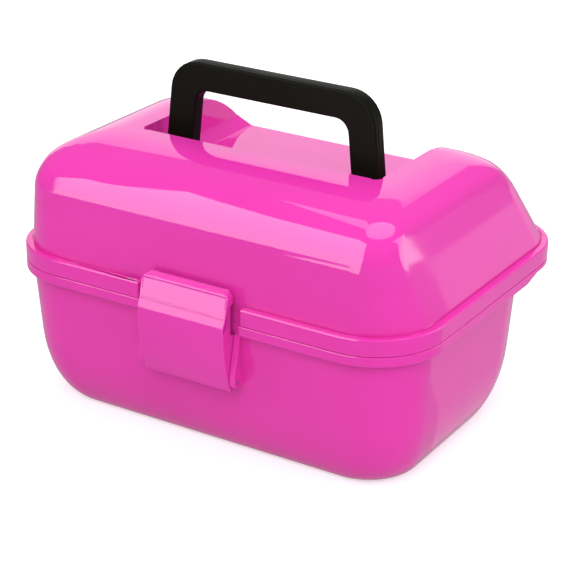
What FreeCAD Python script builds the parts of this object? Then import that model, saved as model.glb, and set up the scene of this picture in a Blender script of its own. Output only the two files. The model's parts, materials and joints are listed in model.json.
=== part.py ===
import FreeCAD, Part
import math
import os

# Tackle box with a drop latch, a fold-down handle in the lid and one cantilever tray.
# Millimetres, +Z up, latch towards -Y, +X to the right of someone who faces the latch.
# The origin is the middle of the flat underside that the box stands on.

# Overall plan and heights
RIM_LENGTH = 280.0
RIM_DEPTH = 217.6
RIM_CORNER = 44.0
RIM_OVERHANG = 5.0
BASE_RIM_Z = 87.0
BASE_RIM_HIGH = 6.0
SPLIT_GAP = 0.3
LID_RIM_HIGH = 10.1
LID_DOME_HIGH = 64.6

# Moulded walls
WALL = 2.6
RIM_WALL = 2.2
RIM_PLATE = 2.4
RIM_EDGE_BEVEL = 1.1

# Base walls, where a slope is millimetres inwards for each millimetre down
BASE_FRONT_SLOPE = 0.11
BASE_BACK_SLOPE = 0.11
BASE_END_SLOPE = 0.06
BASE_BACK_SHELF = 17.0
BASE_FRONT_CORNER = 37.7
BASE_BACK_CORNER = 58.0
BASE_CORNER_TAPER = 7.0
FOOT_ROUND_IN = 15.6
FOOT_ROUND_UP = 44.0
FLOOR = 2.8
FOOT_GROOVE_IN = 11.0
FOOT_GROOVE_WIDE = 3.0
FOOT_GROOVE_DEEP = 0.9
SKIRT_RUNOUT_FRONT = 64.0
SKIRT_RUNOUT_BACK = 49.0

# Lid walls, where a slope is millimetres inwards for each millimetre up
LID_BACK_SLOPE = 0.77
LID_END_SLOPE = 0.28
LID_FRONT_SHOULDER = (59.0, 26.0)
LID_BACK_SHOULDER = (28.5, 28.8)
LID_END_SHOULDER = (27.0, 12.4)
LID_FRONT_CORNER = (38.0, 13.0)
LID_BACK_CORNER = (37.0, 20.0)

# Handle recess in the lid, open to the back
RECESS_HALF = 82.0
RECESS_LIP_Y = -38.0
RECESS_DEEP = 29.0
RECESS_FACET_IN = 6.0
RECESS_FACET_UP = 7.0
RECESS_WELL = 33.0
RECESS_CORNER = 5.0

# Handle
HANDLE_BEHIND_LIP = 20.0
HANDLE_REACH = 65.8
HANDLE_THICK = 10.0
HANDLE_BAR = 17.2
HANDLE_LEG = 18.6
HANDLE_SPLAY = 6.8
HANDLE_SIDE_SPACE = 6.6
HANDLE_OUTER_ROUND = 20.0
HANDLE_INNER_ROUND = 9.0
HANDLE_EDGE_BEVEL = 1.2
HANDLE_FLOOR_GAP = 0.8
HANDLE_SIDE_GAP = 0.4
HANDLE_SEAM_BEHIND = 3.0
HANDLE_SEAM_WIDE = 0.8
HANDLE_SEAM_DEEP = 0.5
HANDLE_BOSS_R = 4.7
HANDLE_PIN_R = 2.5
HANDLE_PIN_DEEP = 9.0
HANDLE_PIN_HEAD_R = 5.0
HANDLE_PIN_HEAD = 2.0

# Latch outline, as (outwards from the rim face, up from the split), and its parts
LATCH_HALF = 29.5
LATCH_WALL = 2.6
LATCH_TOP = (-2.4, 20.0)
LATCH_SHOULDER = (3.2, 18.2)
LATCH_BREAK = (6.8, 4.4)
LATCH_BELLY = (8.3, 0.8)
LATCH_BELLY_MID = (7.1, -21.5)
LATCH_HEEL = (0.8, -42.2)
LATCH_CHEEK = ((-1.0, -42.0), (-4.4, -39.0), (-4.4, -8.0), (0.5, -6.4), (0.5, 10.8), (-2.4, 12.6))
LATCH_CORNER = 5.0
LATCH_PIN = (-0.8, -35.8)
LATCH_PIN_R = 1.6
LATCH_SIDE_GAP = 0.5
LATCH_EAR = 3.4
LATCH_EAR_R = 3.4
LATCH_EAR_TOP = (-3.0, -7.0)
NOTCH_HALF = 34.7
NOTCH_WEB = 2.0
HOOK_HALF = 19.0
HOOK_THICK = 2.6
HOOK_GAP = 0.35
CATCH_UP = 3.2
CATCH_THICK = 3.0
CATCH_OUT = 3.2

# Sealing tongue on the base that stands in the hollow rim of the lid
TONGUE_THICK = 1.8
TONGUE_HIGH = 5.0
TONGUE_GAP = 0.5
TONGUE_BACK_Y = 52.0

# Rear hinge
HINGE_BEHIND_RIM = 0.2
HINGE_R = 3.6
HINGE_PIN_R = 1.5
HINGE_STATION_X = 68.0
HINGE_LID_KNUCKLE = 20.0
HINGE_BASE_KNUCKLE = 12.0
HINGE_END_GAP = 0.4
HINGE_POCKET_GAP = 0.5
HINGE_ARM = 5.5
GUSSET_THICK = 2.4
GUSSET_DROP = 13.0
GUSSET_COUNT = 3

# Running and resting clearances
RUN_GAP = 0.06
SEAT_GAP = 0.02
OPEN_PIVOT_GAP = 0.25
SHORT_OF = 0.2

# Cantilever tray
TRAY_END_SPACE = 11.4
TRAY_FRONT_SPACE = 5.2
TRAY_BACK_SPACE = 18.2
TRAY_BELOW_SPLIT = 33.0
TRAY_HIGH = 42.0
TRAY_WALL = 1.8
TRAY_FLOOR = 2.0
TRAY_SLOPE = 0.03
TRAY_CORNER = 30.0
TRAY_FOOT_BEVEL = 4.0
TRAY_RAIL_Y = -15.0
TRAY_LIP = 1.4
TRAY_LIP_HIGH = 2.4
DIVIDER_THICK = 1.6
DIVIDER_GAP = 0.25
DIVIDER_DROP = 4.0
DIVIDER_THUMB_R = 11.0
DIVIDER_CORNER = 1.5
GROOVE_RIB = 1.4
GROOVE_PITCH = 38.0
GROOVE_COUNT = 5

# Swing arms, their rivets and bosses
CRANK_LONG = 73.0
CRANK_UP = 4.45
TRAY_PIVOT_AHEAD = 66.0
TRAY_PIVOT_DOWN = 17.6
ARM_THICK = 2.0
ARM_HALF = 5.5
ARM_SLOT_HALF = 2.0
ARM_SIDE_GAP = 0.3
PIVOT_BOSS_R = 5.5
LID_BOSS_R = 4.2
TRAY_BOSS_OUT = 3.0
RIVET_R = 2.0
RIVET_HEAD_R = 4.0
RIVET_HEAD = 1.0
RIVET_HEAD_GAP = 0.15
RIVET_SEAT = 4.0

# Values that follow
SPLIT_Z = BASE_RIM_Z + BASE_RIM_HIGH
LID_Z = SPLIT_Z + SPLIT_GAP
LEDGE_Z = LID_Z + LID_RIM_HIGH
LID_TOP_Z = LEDGE_Z + LID_DOME_HIGH
HALF_X = RIM_LENGTH / 2
HALF_Y = RIM_DEPTH / 2
WALL_X = HALF_X - RIM_OVERHANG
WALL_Y = HALF_Y - RIM_OVERHANG
BASE_BACK_Y = WALL_Y - BASE_BACK_SHELF
PLATE_Z = SPLIT_Z - RIM_PLATE
HINGE_Y = HALF_Y + HINGE_BEHIND_RIM
HINGE_Z = SPLIT_Z + SPLIT_GAP / 2
RECESS_FLOOR_Z = LID_TOP_Z - RECESS_DEEP
HANDLE_Y = RECESS_LIP_Y + HANDLE_BEHIND_LIP
HANDLE_PIVOT_Z = RECESS_FLOOR_Z + HANDLE_THICK / 2 + HANDLE_FLOOR_GAP
HANDLE_TOP_Z = HANDLE_PIVOT_Z + HANDLE_REACH
HANDLE_FOOT_HALF = RECESS_HALF - HANDLE_SIDE_SPACE
HANDLE_TOP_HALF = HANDLE_FOOT_HALF - HANDLE_SPLAY
LATCH_PIN_Y = -HALF_Y - LATCH_PIN[0]
LATCH_PIN_Z = SPLIT_Z + LATCH_PIN[1]
CATCH_Z = SPLIT_Z + CATCH_UP
HOOK_Z = CATCH_Z + CATCH_THICK + HOOK_GAP
TRAY_HALF = WALL_X - WALL - TRAY_END_SPACE
TRAY_FRONT_Y = -WALL_Y + WALL + TRAY_FRONT_SPACE
TRAY_BACK_Y = BASE_BACK_Y - WALL - TRAY_BACK_SPACE
TRAY_BOTTOM_Z = SPLIT_Z - TRAY_BELOW_SPLIT
TRAY_TOP_Z = TRAY_BOTTOM_Z + TRAY_HIGH
TRAY_FLOOR_Z = TRAY_BOTTOM_Z + TRAY_FLOOR
LID_PIVOT = (HINGE_Y - CRANK_LONG, HINGE_Z + CRANK_UP)
TRAY_PIVOT = (LID_PIVOT[0] - TRAY_PIVOT_AHEAD, LID_PIVOT[1] - TRAY_PIVOT_DOWN)
BASE_PIVOT = (HINGE_Y - TRAY_PIVOT_AHEAD, HINGE_Z - TRAY_PIVOT_DOWN)
BOSS_FACE_X = TRAY_HALF + TRAY_BOSS_OUT
ARM_IN_X = BOSS_FACE_X + ARM_SIDE_GAP
ARM_OUT_X = ARM_IN_X + ARM_THICK
GROOVE_X = [GROOVE_PITCH * (index - (GROOVE_COUNT - 1) / 2) for index in range(GROOVE_COUNT)]
PAST = 1.0
LOFT_STEPS = 5


def vec(x, y, z):
    return FreeCAD.Vector(x, y, z)


def in_plan(x, y):
    """Place a plan point on the plane z = 0."""
    return vec(x, y, 0)


def in_side_view(y, z):
    """Place a side-view point on the plane x = 0."""
    return vec(0, y, z)


def in_front_view(x, z):
    """Place a front-view point on the plane y = 0."""
    return vec(x, 0, z)


def arc_edge(start, middle, end):
    return Part.Arc(start, middle, end).toShape()


def line_edge(start, end):
    return Part.LineSegment(start, end).toShape()


def rounded_plan(half_x, y_front, y_back, front_radius, back_radius, z=0.0):
    """Closed plan outline of lines and quarter arcs, with its own radius at the front and at the back."""
    corners = [
        (1, -1, y_front, front_radius),
        (1, 1, y_back, back_radius),
        (-1, 1, y_back, back_radius),
        (-1, -1, y_front, front_radius),
    ]
    off_diagonal = 1 - math.sqrt(0.5)
    arcs = []
    for index, (side_x, side_y, y, radius) in enumerate(corners):
        on_end = vec(side_x * half_x, y - side_y * radius, z)
        on_long = vec(side_x * (half_x - radius), y, z)
        middle = vec(side_x * (half_x - radius * off_diagonal), y - side_y * radius * off_diagonal, z)
        first, last = (on_long, on_end) if index % 2 == 0 else (on_end, on_long)
        arcs.append((first, middle, last))
    edges = []
    for index, (first, middle, last) in enumerate(arcs):
        edges.append(arc_edge(first, middle, last))
        edges.append(line_edge(last, arcs[(index + 1) % len(arcs)][0]))
    return Part.Wire(edges)


def rounded_polygon(points, radii, place):
    """Closed wire through 2-D corner points, each corner rounded by its own radius, 0 for a sharp one."""
    count = len(points)
    corners = []
    for index in range(count):
        here = vec(*points[index], 0)
        before = vec(*points[index - 1], 0) - here
        after = vec(*points[(index + 1) % count], 0) - here
        before.normalize()
        after.normalize()
        half_angle = before.getAngle(after) / 2
        reach = radii[index] / math.tan(half_angle)
        bisector = before + after
        bisector.normalize()
        depth = radii[index] / math.sin(half_angle) - radii[index]
        corners.append((here + before * reach, here + bisector * depth, here + after * reach))
    edges = []
    for index, (start, middle, end) in enumerate(corners):
        if radii[index] > 0:
            edges.append(arc_edge(place(start.x, start.y), place(middle.x, middle.y), place(end.x, end.y)))
        following = corners[(index + 1) % count][0]
        edges.append(line_edge(place(end.x, end.y), place(following.x, following.y)))
    return Part.Wire(edges)


def sharp_polygon(points, place):
    corners = [place(*point) for point in points]
    return Part.makePolygon(corners + [corners[0]])


def stand_up(outline, z_low, z_high):
    """Prism from a plan outline at height zero."""
    face = Part.Face(outline)
    face.translate(vec(0, 0, z_low))
    return face.extrude(vec(0, 0, z_high - z_low))


def along_x(outline, x_low, x_high):
    """Prism along X from a side-view outline."""
    face = Part.Face(outline)
    face.translate(vec(x_low, 0, 0))
    return face.extrude(vec(x_high - x_low, 0, 0))


def along_y(outline, y_low, y_high):
    """Prism along Y from a front-view outline."""
    face = Part.Face(outline)
    face.translate(vec(0, y_low, 0))
    return face.extrude(vec(0, y_high - y_low, 0))


def block(x_low, x_high, y_low, y_high, z_low, z_high):
    return Part.makeBox(x_high - x_low, y_high - y_low, z_high - z_low, vec(x_low, y_low, z_low))


def rod(radius, span, centre):
    """Round bar along X over a span of X, centred on a side-view point."""
    low, high = min(span), max(span)
    return Part.makeCylinder(radius, high - low, vec(low, *centre), vec(1, 0, 0))


def sided(side, near, far):
    """Span of X given for the right side, mirrored where side is -1, lowest first."""
    return tuple(sorted((side * near, side * far)))


def joined(shapes):
    return shapes[0].multiFuse(shapes[1:]).removeSplitter()


def base_plan(z, inset):
    """Plan outline of the base walls at height z, moved in by an inset."""
    below_rim = BASE_RIM_Z - z
    rounding = 0.0
    if z < FOOT_ROUND_UP:
        height = 1 - z / FOOT_ROUND_UP
        rounding = FOOT_ROUND_IN * (1 - math.sqrt(1 - height * height))
    taper = BASE_CORNER_TAPER * below_rim / BASE_RIM_Z + inset
    return rounded_plan(
        WALL_X - BASE_END_SLOPE * below_rim - rounding - inset,
        -WALL_Y + BASE_FRONT_SLOPE * below_rim + rounding + inset,
        BASE_BACK_Y - BASE_BACK_SLOPE * below_rim - rounding - inset,
        BASE_FRONT_CORNER - taper,
        BASE_BACK_CORNER - taper,
        z,
    )


def base_tub(inset, z_low, z_high):
    """Tub from z_low to z_high: a rounded foot, then straight sloping walls."""
    heights = []
    for step in range(LOFT_STEPS + 1):
        share = 1 - math.cos(math.pi / 2 * step / LOFT_STEPS)
        heights.append(z_low + (FOOT_ROUND_UP - z_low) * share)
    foot = Part.makeLoft([base_plan(z, inset) for z in heights], True, True)
    walls = Part.makeLoft([base_plan(z, inset) for z in (FOOT_ROUND_UP, z_high)], True, True)
    return foot.fuse(walls)


def shoulder_run(z, shoulder, inset):
    """Inward run of an elliptical shoulder at height z, for a lid moved in by an inset."""
    across, up = shoulder[0] - inset, shoulder[1] - inset
    height = (z - (LID_TOP_Z - shoulder[1])) / up
    if height <= 0:
        return 0.0
    return across * (1 - math.sqrt(max(0.0, 1 - height * height)))


def lid_plan(z, inset):
    """Plan outline of the lid walls at height z, moved in by an inset."""
    above = max(0.0, z - LEDGE_Z)
    share = above / LID_DOME_HIGH
    end_inset = inset * math.hypot(1, LID_END_SLOPE)
    back_inset = inset * math.hypot(1, LID_BACK_SLOPE)
    front_radius = LID_FRONT_CORNER[0] + (LID_FRONT_CORNER[1] - LID_FRONT_CORNER[0]) * share
    back_radius = LID_BACK_CORNER[0] + (LID_BACK_CORNER[1] - LID_BACK_CORNER[0]) * share
    return rounded_plan(
        WALL_X - LID_END_SLOPE * above - shoulder_run(z, LID_END_SHOULDER, inset) - end_inset,
        -WALL_Y + shoulder_run(z, LID_FRONT_SHOULDER, inset) + inset,
        WALL_Y - LID_BACK_SLOPE * above - shoulder_run(z, LID_BACK_SHOULDER, inset) - back_inset,
        front_radius - inset,
        back_radius - inset,
        z,
    )


def lid_dome(inset, z_low):
    """Lid form moved in by an inset: an upright foot, sloping walls and rounded shoulders."""
    top = LID_TOP_Z - inset
    bend = LID_TOP_Z - LID_BACK_SHOULDER[1]
    heights = []
    for step in range(2 * LOFT_STEPS + 1):
        heights.append(bend + (top - bend) * math.sin(math.pi / 4 * step / LOFT_STEPS))
    foot = stand_up(lid_plan(0.0, inset), z_low, LEDGE_Z)
    foot_plan = lid_plan(LEDGE_Z, inset)
    slopes = Part.makeLoft([foot_plan, lid_plan(bend, inset)], True, True)
    shoulders = Part.makeLoft([lid_plan(z, inset) for z in heights], True, True)
    return foot.fuse([slopes, shoulders])


def recess_space(grow):
    """Space of the handle recess, grown by a wall thickness for the inside of the lid."""
    floor_z = RECESS_FLOOR_Z - grow
    half = RECESS_HALF + grow
    front_y = RECESS_LIP_Y - grow
    outline = rounded_polygon(
        [(-half, front_y), (half, front_y), (half, HALF_Y), (-half, HALF_Y)],
        [RECESS_CORNER + grow, RECESS_CORNER + grow, 0, 0],
        in_plan,
    )
    space = stand_up(outline, floor_z, LID_TOP_Z + PAST)
    for side in (-1, 1):
        facet = sharp_polygon(
            [
                (side * (half - RECESS_FACET_IN), floor_z),
                (side * half, floor_z + RECESS_FACET_UP),
                (side * (half + PAST), floor_z + RECESS_FACET_UP),
                (side * (half + PAST), floor_z - PAST),
                (side * (half - RECESS_FACET_IN), floor_z - PAST),
            ],
            in_front_view,
        )
        space = space.cut(along_y(facet, front_y + RECESS_WELL + grow, HALF_Y + PAST))
    return space


def rim_block(inset, z_low, z_high):
    """Solid slab with the plan of the rim, moved in by an inset."""
    corner = RIM_CORNER - inset
    outline = rounded_plan(HALF_X - inset, -HALF_Y + inset, HALF_Y - inset, corner, corner)
    return stand_up(outline, z_low, z_high)


def latch_notch(z_low, z_high):
    """Gap in both rims that the latch closes into."""
    return block(-NOTCH_HALF, NOTCH_HALF, -HALF_Y - PAST, -WALL_Y, z_low, z_high)


def notch_webs(z_low, z_high):
    """End walls that close the hollow rim on both sides of the notch."""
    webs = []
    for side in (-1, 1):
        span = sided(side, NOTCH_HALF, NOTCH_HALF + NOTCH_WEB)
        webs.append(block(*span, -HALF_Y, -WALL_Y + WALL / 2, z_low, z_high))
    return webs


def hinge_spans():
    """X spans of the lid knuckles and of the base knuckles."""
    lid_spans = []
    base_spans = []
    near = HINGE_LID_KNUCKLE / 2
    far = near + HINGE_END_GAP
    for centre in (-HINGE_STATION_X, HINGE_STATION_X):
        lid_spans.append((centre - near, centre + near))
        base_spans.append((centre - far - HINGE_BASE_KNUCKLE, centre - far))
        base_spans.append((centre + far, centre + far + HINGE_BASE_KNUCKLE))
    return lid_spans, base_spans


def knuckle(span, z_low, z_high):
    """Hinge barrel with the arm that joins it to its rim."""
    arm = block(*span, HINGE_Y - HINGE_ARM, HINGE_Y, z_low, z_high)
    return rod(HINGE_R, span, (HINGE_Y, HINGE_Z)).fuse(arm)


def knuckle_pocket(span):
    """Round clearance in a rim for a knuckle of the other shell."""
    wide = (span[0] - HINGE_END_GAP, span[1] + HINGE_END_GAP)
    return rod(HINGE_R + HINGE_POCKET_GAP, wide, (HINGE_Y, HINGE_Z))


def base_skirt():
    """Turned-down edge of the base rim, which runs out before the back corners."""
    skirt = rim_block(0.0, BASE_RIM_Z, SPLIT_Z).cut(rim_block(RIM_WALL, BASE_RIM_Z, SPLIT_Z))
    runout = sharp_polygon(
        [
            (HALF_Y - SKIRT_RUNOUT_FRONT, BASE_RIM_Z - PAST),
            (HALF_Y - SKIRT_RUNOUT_FRONT, BASE_RIM_Z),
            (HALF_Y - SKIRT_RUNOUT_BACK, PLATE_Z),
            (HALF_Y + PAST, PLATE_Z),
            (HALF_Y + PAST, BASE_RIM_Z - PAST),
        ],
        in_side_view,
    )
    return skirt.cut(along_x(runout, -HALF_X - PAST, HALF_X + PAST))


def base_tongue():
    """Sealing tongue along the front and both ends of the base rim."""
    outer = RIM_OVERHANG - TONGUE_GAP - TONGUE_THICK
    top = SPLIT_Z + TONGUE_HIGH
    low = SPLIT_Z - RIM_PLATE / 2
    tongue = rim_block(outer, low, top).cut(rim_block(outer + TONGUE_THICK, low, top))
    tongue = tongue.cut(block(-HALF_X, HALF_X, TONGUE_BACK_Y, HALF_Y, low, top))
    half = NOTCH_HALF + NOTCH_WEB + TONGUE_GAP
    return tongue.cut(block(-half, half, -HALF_Y, 0, low, top))


def base_gussets():
    """Ribs that carry the rear shelf of the base."""
    outline = sharp_polygon(
        [
            (BASE_BACK_Y - WALL, PLATE_Z - GUSSET_DROP),
            (BASE_BACK_Y - WALL, PLATE_Z + RIM_PLATE / 2),
            (HALF_Y - RIM_WALL, PLATE_Z + RIM_PLATE / 2),
            (HALF_Y - RIM_WALL, PLATE_Z - RIM_PLATE),
        ],
        in_side_view,
    )
    gussets = []
    for index in range(GUSSET_COUNT):
        middle = HINGE_STATION_X * (2 * index / (GUSSET_COUNT - 1) - 1)
        gussets.append(along_x(outline, middle - GUSSET_THICK / 2, middle + GUSSET_THICK / 2))
    return gussets


def latch_ears():
    """Pair of ears on the front of the base that carry the latch pin."""
    front_y = LATCH_PIN_Y - LATCH_EAR_R
    root_y = -WALL_Y + LATCH_EAR_R + WALL
    outline = rounded_polygon(
        [
            (root_y, LATCH_PIN_Z - LATCH_EAR_R),
            (root_y, SPLIT_Z + LATCH_EAR_TOP[1]),
            (-HALF_Y - LATCH_EAR_TOP[0], SPLIT_Z + LATCH_EAR_TOP[1]),
            (front_y, LATCH_PIN_Z + LATCH_EAR_R),
            (front_y, LATCH_PIN_Z - LATCH_EAR_R),
        ],
        [0, 0, LATCH_EAR_R / 2, LATCH_EAR_R, LATCH_EAR_R],
        in_side_view,
    )
    near = LATCH_HALF + LATCH_SIDE_GAP
    return [along_x(outline, *sided(side, near, near + LATCH_EAR)) for side in (-1, 1)]


def foot_groove():
    """Shallow groove round the underside, which leaves a standing ring and a flat middle."""
    outer = stand_up(base_plan(0.0, FOOT_GROOVE_IN), 0.0, FOOT_GROOVE_DEEP)
    inner = stand_up(base_plan(0.0, FOOT_GROOVE_IN + FOOT_GROOVE_WIDE), 0.0, FOOT_GROOVE_DEEP)
    return outer.cut(inner)


def base_shell():
    lid_spans, base_spans = hinge_spans()
    hollow = base_tub(WALL, FLOOR, SPLIT_Z + PAST)
    walls = base_tub(0.0, 0.0, SPLIT_Z)
    rim = rim_block(0.0, PLATE_Z, SPLIT_Z).fuse([base_skirt()] + notch_webs(BASE_RIM_Z, SPLIT_Z))
    rim = rim.cut(latch_notch(BASE_RIM_Z - PAST, SPLIT_Z + PAST))
    pockets = [knuckle_pocket(span) for span in lid_spans]
    shell = walls.fuse([rim, base_tongue()] + base_gussets() + latch_ears())
    shell = shell.cut([hollow, foot_groove()] + pockets)
    pin_axis = (LATCH_PIN_Y, LATCH_PIN_Z)
    pin_span = (-LATCH_HALF - LATCH_EAR - PAST, LATCH_HALF + LATCH_EAR + PAST)
    additions = [knuckle(span, HINGE_Z - HINGE_R, SPLIT_Z) for span in base_spans]
    holes = [rod(LATCH_PIN_R + SEAT_GAP, pin_span, pin_axis)]
    holes += [rod(HINGE_PIN_R + SEAT_GAP, span, (HINGE_Y, HINGE_Z)) for span in base_spans]
    boss_x = ARM_OUT_X + ARM_SIDE_GAP
    mid_wall = base_tub(WALL / 2, 0.0, SPLIT_Z)
    for side in (-1, 1):
        additions.append(rod(PIVOT_BOSS_R, sided(side, boss_x, WALL_X), BASE_PIVOT).common(mid_wall))
        holes.append(rod(RIVET_R + SEAT_GAP, sided(side, boss_x, boss_x + RIVET_SEAT), BASE_PIVOT))
    return shell.fuse(additions).cut(holes).removeSplitter()


def lid_shell():
    lid_spans, base_spans = hinge_spans()
    rim = rim_block(0.0, LID_Z, LEDGE_Z)
    top_edges = [edge for edge in rim.Edges if edge.BoundBox.ZMin > LEDGE_Z - SPLIT_GAP]
    rim = rim.makeChamfer(RIM_EDGE_BEVEL, top_edges)
    rim = rim.cut(rim_block(RIM_WALL, LID_Z, LEDGE_Z - RIM_PLATE))
    rim = rim.fuse(notch_webs(LID_Z, LEDGE_Z - RIM_PLATE / 2))
    rim = rim.cut(latch_notch(LID_Z - PAST, LEDGE_Z + PAST))
    shell = lid_dome(0.0, LID_Z).fuse(rim)
    hollow = lid_dome(WALL, LID_Z - PAST).cut(recess_space(WALL))
    pockets = [knuckle_pocket(span) for span in base_spans]
    shell = shell.cut([recess_space(0.0), hollow] + pockets)
    catch_half = HOOK_HALF + WALL
    catch_y = -WALL_Y - CATCH_OUT
    additions = [block(-catch_half, catch_half, catch_y, -WALL_Y + WALL / 2, CATCH_Z, CATCH_Z + CATCH_THICK)]
    additions += [knuckle(span, LID_Z, HINGE_Z + HINGE_R) for span in lid_spans]
    holes = [rod(HINGE_PIN_R + RUN_GAP, span, (HINGE_Y, HINGE_Z)) for span in lid_spans]
    for side in (-1, 1):
        additions.append(rod(LID_BOSS_R, sided(side, ARM_IN_X, WALL_X - WALL / 2), LID_PIVOT))
        holes.append(rod(RIVET_R + SEAT_GAP, sided(side, ARM_IN_X, ARM_OUT_X + RIVET_SEAT), LID_PIVOT))
        pin_span = sided(side, RECESS_HALF - PAST, RECESS_HALF + WALL + PAST)
        holes.append(rod(HANDLE_PIN_R + SEAT_GAP, pin_span, (HANDLE_Y, HANDLE_PIVOT_Z)))
    return shell.fuse(additions).cut(holes).removeSplitter()


def handle_outline(inset):
    """Front view of the handle, without its feet, with its outside moved in by an inset."""
    foot, top = HANDLE_FOOT_HALF - inset, HANDLE_TOP_HALF - inset
    inner_foot = HANDLE_FOOT_HALF - HANDLE_LEG
    inner_top = inner_foot - HANDLE_SPLAY * (HANDLE_REACH - HANDLE_BAR) / HANDLE_REACH
    high, low = HANDLE_TOP_Z - inset, HANDLE_PIVOT_Z
    inner_high = HANDLE_TOP_Z - HANDLE_BAR
    outer_round = HANDLE_OUTER_ROUND - inset
    return rounded_polygon(
        [
            (-foot, low),
            (-top, high),
            (top, high),
            (foot, low),
            (inner_foot, low),
            (inner_top, inner_high),
            (-inner_top, inner_high),
            (-inner_foot, low),
        ],
        [0, outer_round, outer_round, 0, 0, HANDLE_INNER_ROUND, HANDLE_INNER_ROUND, 0],
        in_front_view,
    )


def handle():
    half = HANDLE_THICK / 2
    bail = along_y(handle_outline(0.0), HANDLE_Y - half, HANDLE_Y + half)
    long_edges = []
    for edge in bail.Edges:
        box = edge.BoundBox
        if box.YLength < SEAT_GAP and box.ZMax > HANDLE_PIVOT_Z + PAST:
            long_edges.append(edge)
    bail = bail.makeChamfer(HANDLE_EDGE_BEVEL, long_edges)
    seam_span = (HANDLE_Y - half + HANDLE_SEAM_BEHIND, HANDLE_Y - half + HANDLE_SEAM_BEHIND + HANDLE_SEAM_WIDE)
    seam = along_y(handle_outline(0.0), *seam_span)
    seam = seam.cut(along_y(handle_outline(HANDLE_SEAM_DEEP), *seam_span))
    additions = []
    holes = [seam]
    centre = (HANDLE_Y, HANDLE_PIVOT_Z)
    inner_foot = HANDLE_FOOT_HALF - HANDLE_LEG
    boss_end = RECESS_HALF - HANDLE_SIDE_GAP
    for side in (-1, 1):
        additions.append(rod(half, sided(side, inner_foot, HANDLE_FOOT_HALF), centre))
        additions.append(rod(HANDLE_BOSS_R, sided(side, inner_foot, boss_end), centre))
        pin_span = sided(side, boss_end - HANDLE_PIN_DEEP, boss_end)
        holes.append(rod(HANDLE_PIN_R + RUN_GAP, pin_span, centre))
    return bail.fuse(additions).cut(holes).removeSplitter()


def handle_pin(side):
    """Snap pin from inside the lid, through the recess wall and into a foot of the handle."""
    centre = (HANDLE_Y, HANDLE_PIVOT_Z)
    inside = RECESS_HALF + WALL
    tip = RECESS_HALF - HANDLE_SIDE_GAP - HANDLE_PIN_DEEP + SHORT_OF
    shank = rod(HANDLE_PIN_R, sided(side, tip, inside), centre)
    return shank.fuse(rod(HANDLE_PIN_HEAD_R, sided(side, inside, inside + HANDLE_PIN_HEAD), centre))


def latch_point(offset):
    """Side-view point from an offset out of the rim face and up from the split."""
    return (-HALF_Y - offset[0], SPLIT_Z + offset[1])


def latch_side(back_points):
    """Side-view outline of the latch: its bowed face, closed by points behind it."""
    top, shoulder, bend, belly, middle, heel = [
        in_side_view(*latch_point(offset))
        for offset in (LATCH_TOP, LATCH_SHOULDER, LATCH_BREAK, LATCH_BELLY, LATCH_BELLY_MID, LATCH_HEEL)
    ]
    back = [in_side_view(*point) for point in back_points]
    edges = [line_edge(top, shoulder), line_edge(shoulder, bend), line_edge(bend, belly)]
    edges.append(arc_edge(belly, middle, heel))
    path = [heel] + back + [top]
    edges += [line_edge(path[index], path[index + 1]) for index in range(len(path) - 1)]
    return Part.Wire(edges)


def latch_plate():
    heel = latch_point(LATCH_HEEL)
    outline = latch_side([latch_point(offset) for offset in LATCH_CHEEK])
    body = along_x(outline, -LATCH_HALF, LATCH_HALF)
    behind = -WALL_Y
    hollow_side = latch_side([(behind, heel[1]), (behind, latch_point(LATCH_TOP)[1])])
    hollow = along_x(hollow_side, -LATCH_HALF + LATCH_WALL, LATCH_HALF - LATCH_WALL)
    hollow.translate(vec(0, LATCH_WALL, -LATCH_WALL))
    front = rounded_polygon(
        [
            (-LATCH_HALF, heel[1] - PAST),
            (-LATCH_HALF, latch_point(LATCH_TOP)[1]),
            (LATCH_HALF, latch_point(LATCH_TOP)[1]),
            (LATCH_HALF, heel[1] - PAST),
        ],
        [0, LATCH_CORNER, LATCH_CORNER, 0],
        in_front_view,
    )
    reach = 4 * LATCH_CORNER
    body = body.common(along_y(front, -HALF_Y - reach, -HALF_Y + reach))
    hook_front = latch_point(LATCH_SHOULDER)[0]
    hook_back = -WALL_Y - 2 * TONGUE_GAP
    hook = block(-HOOK_HALF, HOOK_HALF, hook_front, hook_back, HOOK_Z, HOOK_Z + HOOK_THICK)
    pin_span = (-LATCH_HALF - PAST, LATCH_HALF + PAST)
    hole = rod(LATCH_PIN_R + RUN_GAP, pin_span, (LATCH_PIN_Y, LATCH_PIN_Z))
    return body.cut(hollow).fuse(hook).cut(hole).removeSplitter()


def latch_pin():
    half = LATCH_HALF + LATCH_SIDE_GAP + LATCH_EAR
    return rod(LATCH_PIN_R, (-half, half), (LATCH_PIN_Y, LATCH_PIN_Z))


def hinge_pin(side):
    """Steel pin through the three knuckles of one hinge station."""
    half = HINGE_LID_KNUCKLE / 2 + HINGE_END_GAP + HINGE_BASE_KNUCKLE - SHORT_OF
    centre = side * HINGE_STATION_X
    return rod(HINGE_PIN_R, (centre - half, centre + half), (HINGE_Y, HINGE_Z))


def tray_wall_y(z):
    """Inner faces of the front and back walls of the tray at height z."""
    lean = TRAY_SLOPE * (TRAY_TOP_Z - z) + TRAY_WALL
    return TRAY_FRONT_Y + lean, TRAY_BACK_Y - lean


def tray_plan(z, inset):
    lean = TRAY_SLOPE * (TRAY_TOP_Z - z) + inset
    corner = TRAY_CORNER - inset
    return rounded_plan(TRAY_HALF - lean, TRAY_FRONT_Y + lean, TRAY_BACK_Y - lean, corner, corner, z)


def tray_loft(z_low, z_high, inset):
    return Part.makeLoft([tray_plan(z_low, inset), tray_plan(z_high, inset)], True, True)


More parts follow.
